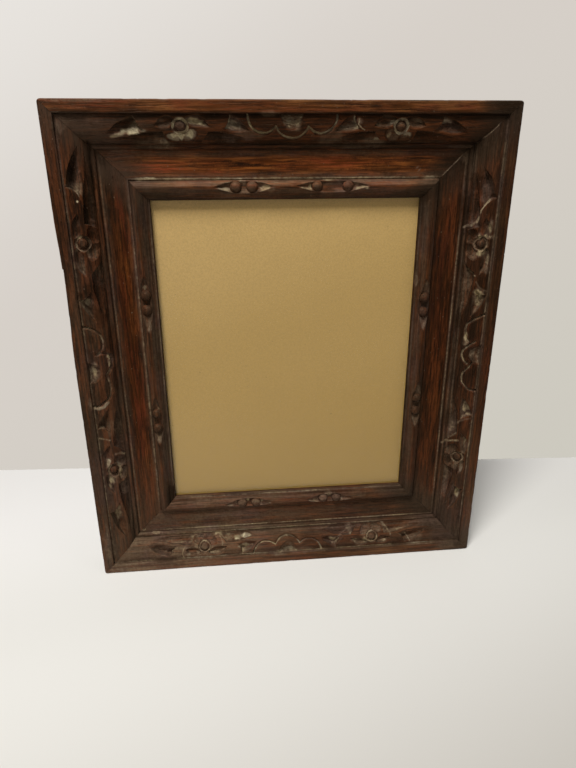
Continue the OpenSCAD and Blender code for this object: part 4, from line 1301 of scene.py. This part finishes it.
def blacken(f, v, inside, cornerBlack):
    start, full, most = v["hollow"]
    # Faces turned down get more painted shade
    downward = 0.65 + 0.35 * smooth(-f.up, -0.1, 0.5)
    return np.maximum.reduce([
        # painted shade in hollows, less where a face turns up
        most * smooth(f.wide, start, full) * (1 - 0.7 * smooth(f.up, 0.0, 0.6)),
        # painted shade in the creases and quirks across the moulding
        f.across(shadeAcross) * (0.75 + 0.25 * f.small),
        # painted shade on the cuts' bare walls, darker on faces turned down
        f.inCut * (1 - inside) * v["cutShade"][f.number] * downward,
        # painted shadow along the cuts' steep walls
        f.outline * v["outlineShadow"][f.number],
        # black beads, with painted shade on their lower halves
        f.carved.bead * v["beadBlack"] * (0.8 + 0.4 * (0.5 - f.up)),
        # painted shade round the foot of each bead
        f.ring * v["ringShade"][f.number],
        cornerBlack])


# 1 on a flat patch, 0 away from it, with a ragged edge
def patchAt(f, place, off, long, wide, turn=0):
    c, s = math.cos(math.radians(turn)), math.sin(math.radians(turn))
    du, da = f.along - place, f.offset - off
    r = np.hypot((du * c + da * s) / long, (da * c - du * s) / wide)
    return smooth(1.28 + 0.22 * f.ragged - r, 0, 0.85)


# Patches that stay in the cuts, loose marks, and strokes of dust
def layMarks(f, dust, grimeAndShade):
    inCuts = patchesOf[f.side] if f.kind == "outer" else []
    for order, (place, off, long, wide, amount, *turn) in enumerate(inCuts + marksOf[f.kind][f.side]):
        patch = patchAt(f, place, off, long, wide, *turn) * (1 - 0.8 * f.carved.bead)
        if order < len(inCuts):
            patch = patch * (0.12 + 0.88 * f.inCut)
        if amount > 0:
            dust = np.maximum(dust, patch * amount * (0.85 + 0.3 * f.small))
            grimeAndShade *= 1 - 0.8 * patch * amount
        else:
            # Black patches darken; in the cuts this is painted shade
            dust *= 1 + patch * amount
            grimeAndShade = np.maximum(grimeAndShade, -patch * amount)
    strokes = strokesOf[f.side] if f.kind == "outer" else []
    for halfWidth, amount, points in strokes:
        far = fromLine(f.along, f.offset, points) / halfWidth
        stroke = smooth(1.5 + 0.3 * f.ragged - far, 0, 0.8)
        dust = np.maximum(dust, stroke * amount * (0.8 + 0.4 * f.broad))
        grimeAndShade *= 1 - 0.9 * stroke * amount
    return dust, grimeAndShade


def seamDust(f):
    way = f.u * seamEnds[f.side]
    end = np.max(way, axis=0, keepdims=True)
    part = sum(smooth(f.offset, a, b) * (1 - smooth(f.offset, c, d)) for a, b, c, d in seamStretches)
    return part * smooth(way, end - 0.75, end - 0.35) * (0.35 + 0.6 * f.small)


# Dust with some painted highlight, worn wood, black wax with painted shade, and brown film on one side
def weather(f, v):
    corner, cornerBlack = cornerMarks(f, v)
    clear = 1 - corner
    least = v["settledLeast"][f.number]
    # Dust in the cuts is thicker on faces turned up, which is also a painted highlight
    settled = least + (1 - least) * smooth(f.up, -0.35, 0.45)
    settled += (1 - settled) * smooth(f.carved.pale, 0.82, 0.90) * 0.85
    inside = f.inCut * f.carved.pale * settled * v["cutDust"][f.number] * (0.8 + 0.4 * f.small)
    dust = settle(f, v, inside, clear)
    grimeAndShade = blacken(f, v, inside, cornerBlack)
    start, full, most = v["edge"]
    worn = np.maximum(most * smooth(-f.fine, start, full) * (1 - f.carved.bead),
                      f.across(redAcross) * (0.55 + 0.6 * f.broad)) * clear * (1 - 0.8 * f.inCut)
    dust, grimeAndShade = layMarks(f, dust, grimeAndShade)
    # Painted shade round the foot of each bead
    grimeAndShade = np.maximum(grimeAndShade, f.ring * v["ringShade"][f.number])
    dust *= 1 - 0.8 * f.ring
    if f.side in seamEnds:
        dust = np.maximum(dust, seamDust(f))
    return {"dust": dust, "worn": worn, "grimeAndShade": grimeAndShade, "corner": corner}


def makeSide(kind, side, node, steps, shape, section, seed):
    length = frameHeight if side in stiles else frameWidth
    mesh = sweepMesh(node + "_carved", section, length, steps, oak[kind, side])
    flat = np.empty(len(mesh.vertices) * 3)
    mesh.vertices.foreach_get("co", flat)
    grid = flat.reshape(steps, len(section.points), 3) / mm
    offset = grid[..., 2].copy()
    carved = shape(side, section, grid, seed)
    normal = gridNormals(grid)
    normal *= np.sign(np.mean(normal[:, section.rows["back"][0], 1]))
    turn, shift = sidePlaces[side]
    turned = np.array(Matrix.Rotation(math.radians(turn), 3, "Y"))
    v = ageValues
    front = grid[..., 1] < v["front"]
    aged = weather(Face(kind, side, grid, offset, carved, normal, normal @ turned[2], v), v)
    points = grid.reshape(-1, 3) @ turned.T + np.array(shift)
    roundCorners(points, cornerRadius)
    mesh.vertices.foreach_set("co", (points * mm).ravel())
    for label, values in aged.items():
        layer = mesh.attributes.new(label, "FLOAT", "POINT")
        layer.data.foreach_set("value", np.clip(front * values, 0, 1).astype(np.float32).ravel())
    mesh.shade_smooth()
    mesh.set_sharp_from_angle(angle=math.radians(sharpAngle))
    mesh.update()
    piece = bpy.data.objects.new(node + "_carved", mesh)
    bpy.context.scene.collection.objects.link(piece)
    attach(piece, "frame")
    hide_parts(node)


innerOutline = innerSection(innerMoulding)
for number, side in enumerate(sideOrder):
    bar = "stile" if side in stiles else "rail"
    outerOutline = outerSection(outerMoulding, outerMoulding[bar + "NailRows"])
    for kind, v, shape, outline in (("outer", outerMoulding, outerShape, outerOutline),
                                    ("inner", innerMoulding, innerShape, innerOutline)):
        makeSide(kind, side, kind + "_" + bar + "_" + side, v[bar + "Steps"], shape, outline,
                 v["seed"] + number * 20)
print("eight mouldings swept, mitred and carved")


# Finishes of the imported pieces
def dress(node, mat):
    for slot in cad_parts[node].material_slots:
        slot.material = mat


cardValues = {
    "rise": (-0.25, 0, 1),      # painted light and shade, from dark low on the right to light high on the left
    "colours": ((0.42, 0.246, 0.067), (0.508, 0.306, 0.098), (0.672, 0.421, 0.168)),
    "changes": ((0.05, 0.20), (0.22, 0.36)),
    "cloud": (0.38, 0.225, 0.07), "fibre": (0.30, 0.185, 0.062), "speck": (0.12, 0.07, 0.03),
    "cloudScale": 9, "fibreScale": 620, "speckScale": 420,
    "rough": 0.85, "shine": 0.2, "bump": 0.00006,
}


def cardFinish(v):
    mat, t, surface = newMaterial("tanCard")
    place = t.place()
    clouds = t.noise(place, v["cloudScale"], 3, 0.6)
    fibres = t.noise(place, v["fibreScale"], 4, 0.72)
    specks = t.noise(place, v["speckScale"], 2, 0.5)
    # Painted light and shade: the card is lighter high on the left, darker low on the right
    colour = t.shades(t.dot(v["rise"]), v["changes"], v["colours"])
    colour = t.mix(t.spread(clouds, 0.25, 0.75, 0.14, 0), colour, v["cloud"])
    colour = t.mix(t.spread(fibres, 0.35, 0.70, 0, 0.30), colour, v["fibre"])
    colour = t.mix(t.spread(specks, 0.775, 0.80, 0, 0.8), colour, v["speck"])
    t.fill(surface, {"Base Color": colour, "Roughness": v["rough"], "Specular IOR Level": v["shine"],
                     "Normal": t.bump(fibres, v["bump"])})
    return mat


glassValues = {
    "tint": (0.98, 1.0, 0.99), "bend": 1.48, "clear": (0.95, 0.97, 0.96),
    "smears": (0.4, 0.8, 0.01, 0.07),       # noise from and to, roughness from and to
    "smearScale": 14,
}


# Light that the card receives goes straight through the glass
def glassFinish(v):
    mat, t, surface = newMaterial("pictureGlass")
    smears = t.noise(t.place(), v["smearScale"], 4, 0.6, 0.8)
    t.fill(surface, {"Base Color": v["tint"], "Transmission Weight": 1.0, "IOR": v["bend"],
                     "Roughness": t.spread(smears, *v["smears"])})
    clear = t.node("ShaderNodeBsdfTransparent", {"Color": v["clear"]})
    path = t.node("ShaderNodeLightPath").outputs
    unseen = t.most(path["Is Shadow Ray"], path["Is Diffuse Ray"])
    mix = t.node("ShaderNodeMixShader", {0: unseen, 1: surface.outputs[0], 2: clear.outputs[0]})
    t.fill(t.tree.nodes["Material Output"], {"Surface": mix.outputs[0]})
    return mat


def steelFinish(name, v):
    mat, t, surface = newMaterial(name)
    place = t.place()
    blotches = t.noise(place, v["blotchScale"], 4, 0.65)
    pits = t.noise(place, v["pitScale"], 2, 0.6)
    rust = t.spread(blotches, v["rustFrom"], v["rustFrom"] + 0.14)
    colour = t.mix(t.spread(pits, 0.5, 0.75, 0, 0.4), t.mix(rust, v["metal"], v["rust"]), v["pit"])
    t.fill(surface, {
        "Base Color": colour, "Metallic": t.spread(rust, 0, 1, 1, 0.15),
        "Roughness": t.spread(rust, 0, 1, v["rough"], 0.85),
        "Normal": t.bump(t.plus(pits, rust), v["bump"])})
    return mat


boardValues = {
    "dark": (0.16, 0.095, 0.045), "middle": (0.30, 0.19, 0.095), "light": (0.38, 0.255, 0.14),
    "contrast": 0.7, "stain": (0.14, 0.085, 0.045), "stainScale": 11,
    "rough": 0.8, "shine": 0.3, "bump": 0.0001,
}


def boardFinish(v):
    mat, t, surface = newMaterial("backingBoard")
    place = t.place()
    grain = t.group(oakGroup, {
        "Place": t.stretch(place, turn=alongZ), "Dark": v["dark"], "Middle": v["middle"],
        "Light": v["light"], "Contrast": v["contrast"]})
    stains = t.spread(t.noise(place, v["stainScale"], 4, 0.6), 0.5, 0.75, 0, 0.45)
    t.fill(surface, {
        "Base Color": t.mix(stains, grain["Colour"], v["stain"]), "Roughness": v["rough"],
        "Specular IOR Level": v["shine"], "Normal": t.bump(grain["Height"], v["bump"])})
    return mat


steelValues = {
    "nailSteel": {
        "metal": (0.20, 0.18, 0.16), "rust": (0.10, 0.045, 0.02), "pit": (0.05, 0.03, 0.02),
        "blotchScale": 420, "pitScale": 2600, "rustFrom": 0.40, "rough": 0.45, "bump": 0.00008},
    "hangerSteel": {
        "metal": (0.52, 0.49, 0.43), "rust": (0.15, 0.075, 0.035), "pit": (0.05, 0.03, 0.02),
        "blotchScale": 260, "pitScale": 2600, "rustFrom": 0.56, "rough": 0.32, "bump": 0.00008},
}
steelPieces = {
    "nailSteel": ("backing_brads", "outer_corner_nails", "inner_corner_nails", "inner_frame_nails"),
    "hangerSteel": ("hanger_strap_left", "hanger_strap_right", "hanger_ring_left", "hanger_ring_right",
                    "hanger_screws"),
}
dress("picture_card", cardFinish(cardValues))
dress("glass_pane", glassFinish(glassValues))
dress("backing_board", boardFinish(boardValues))
for name, nodes in steelPieces.items():
    steel = steelFinish(name, steelValues[name])
    for node in nodes:
        dress(node, steel)
print("card, glass, board and steel dressed")
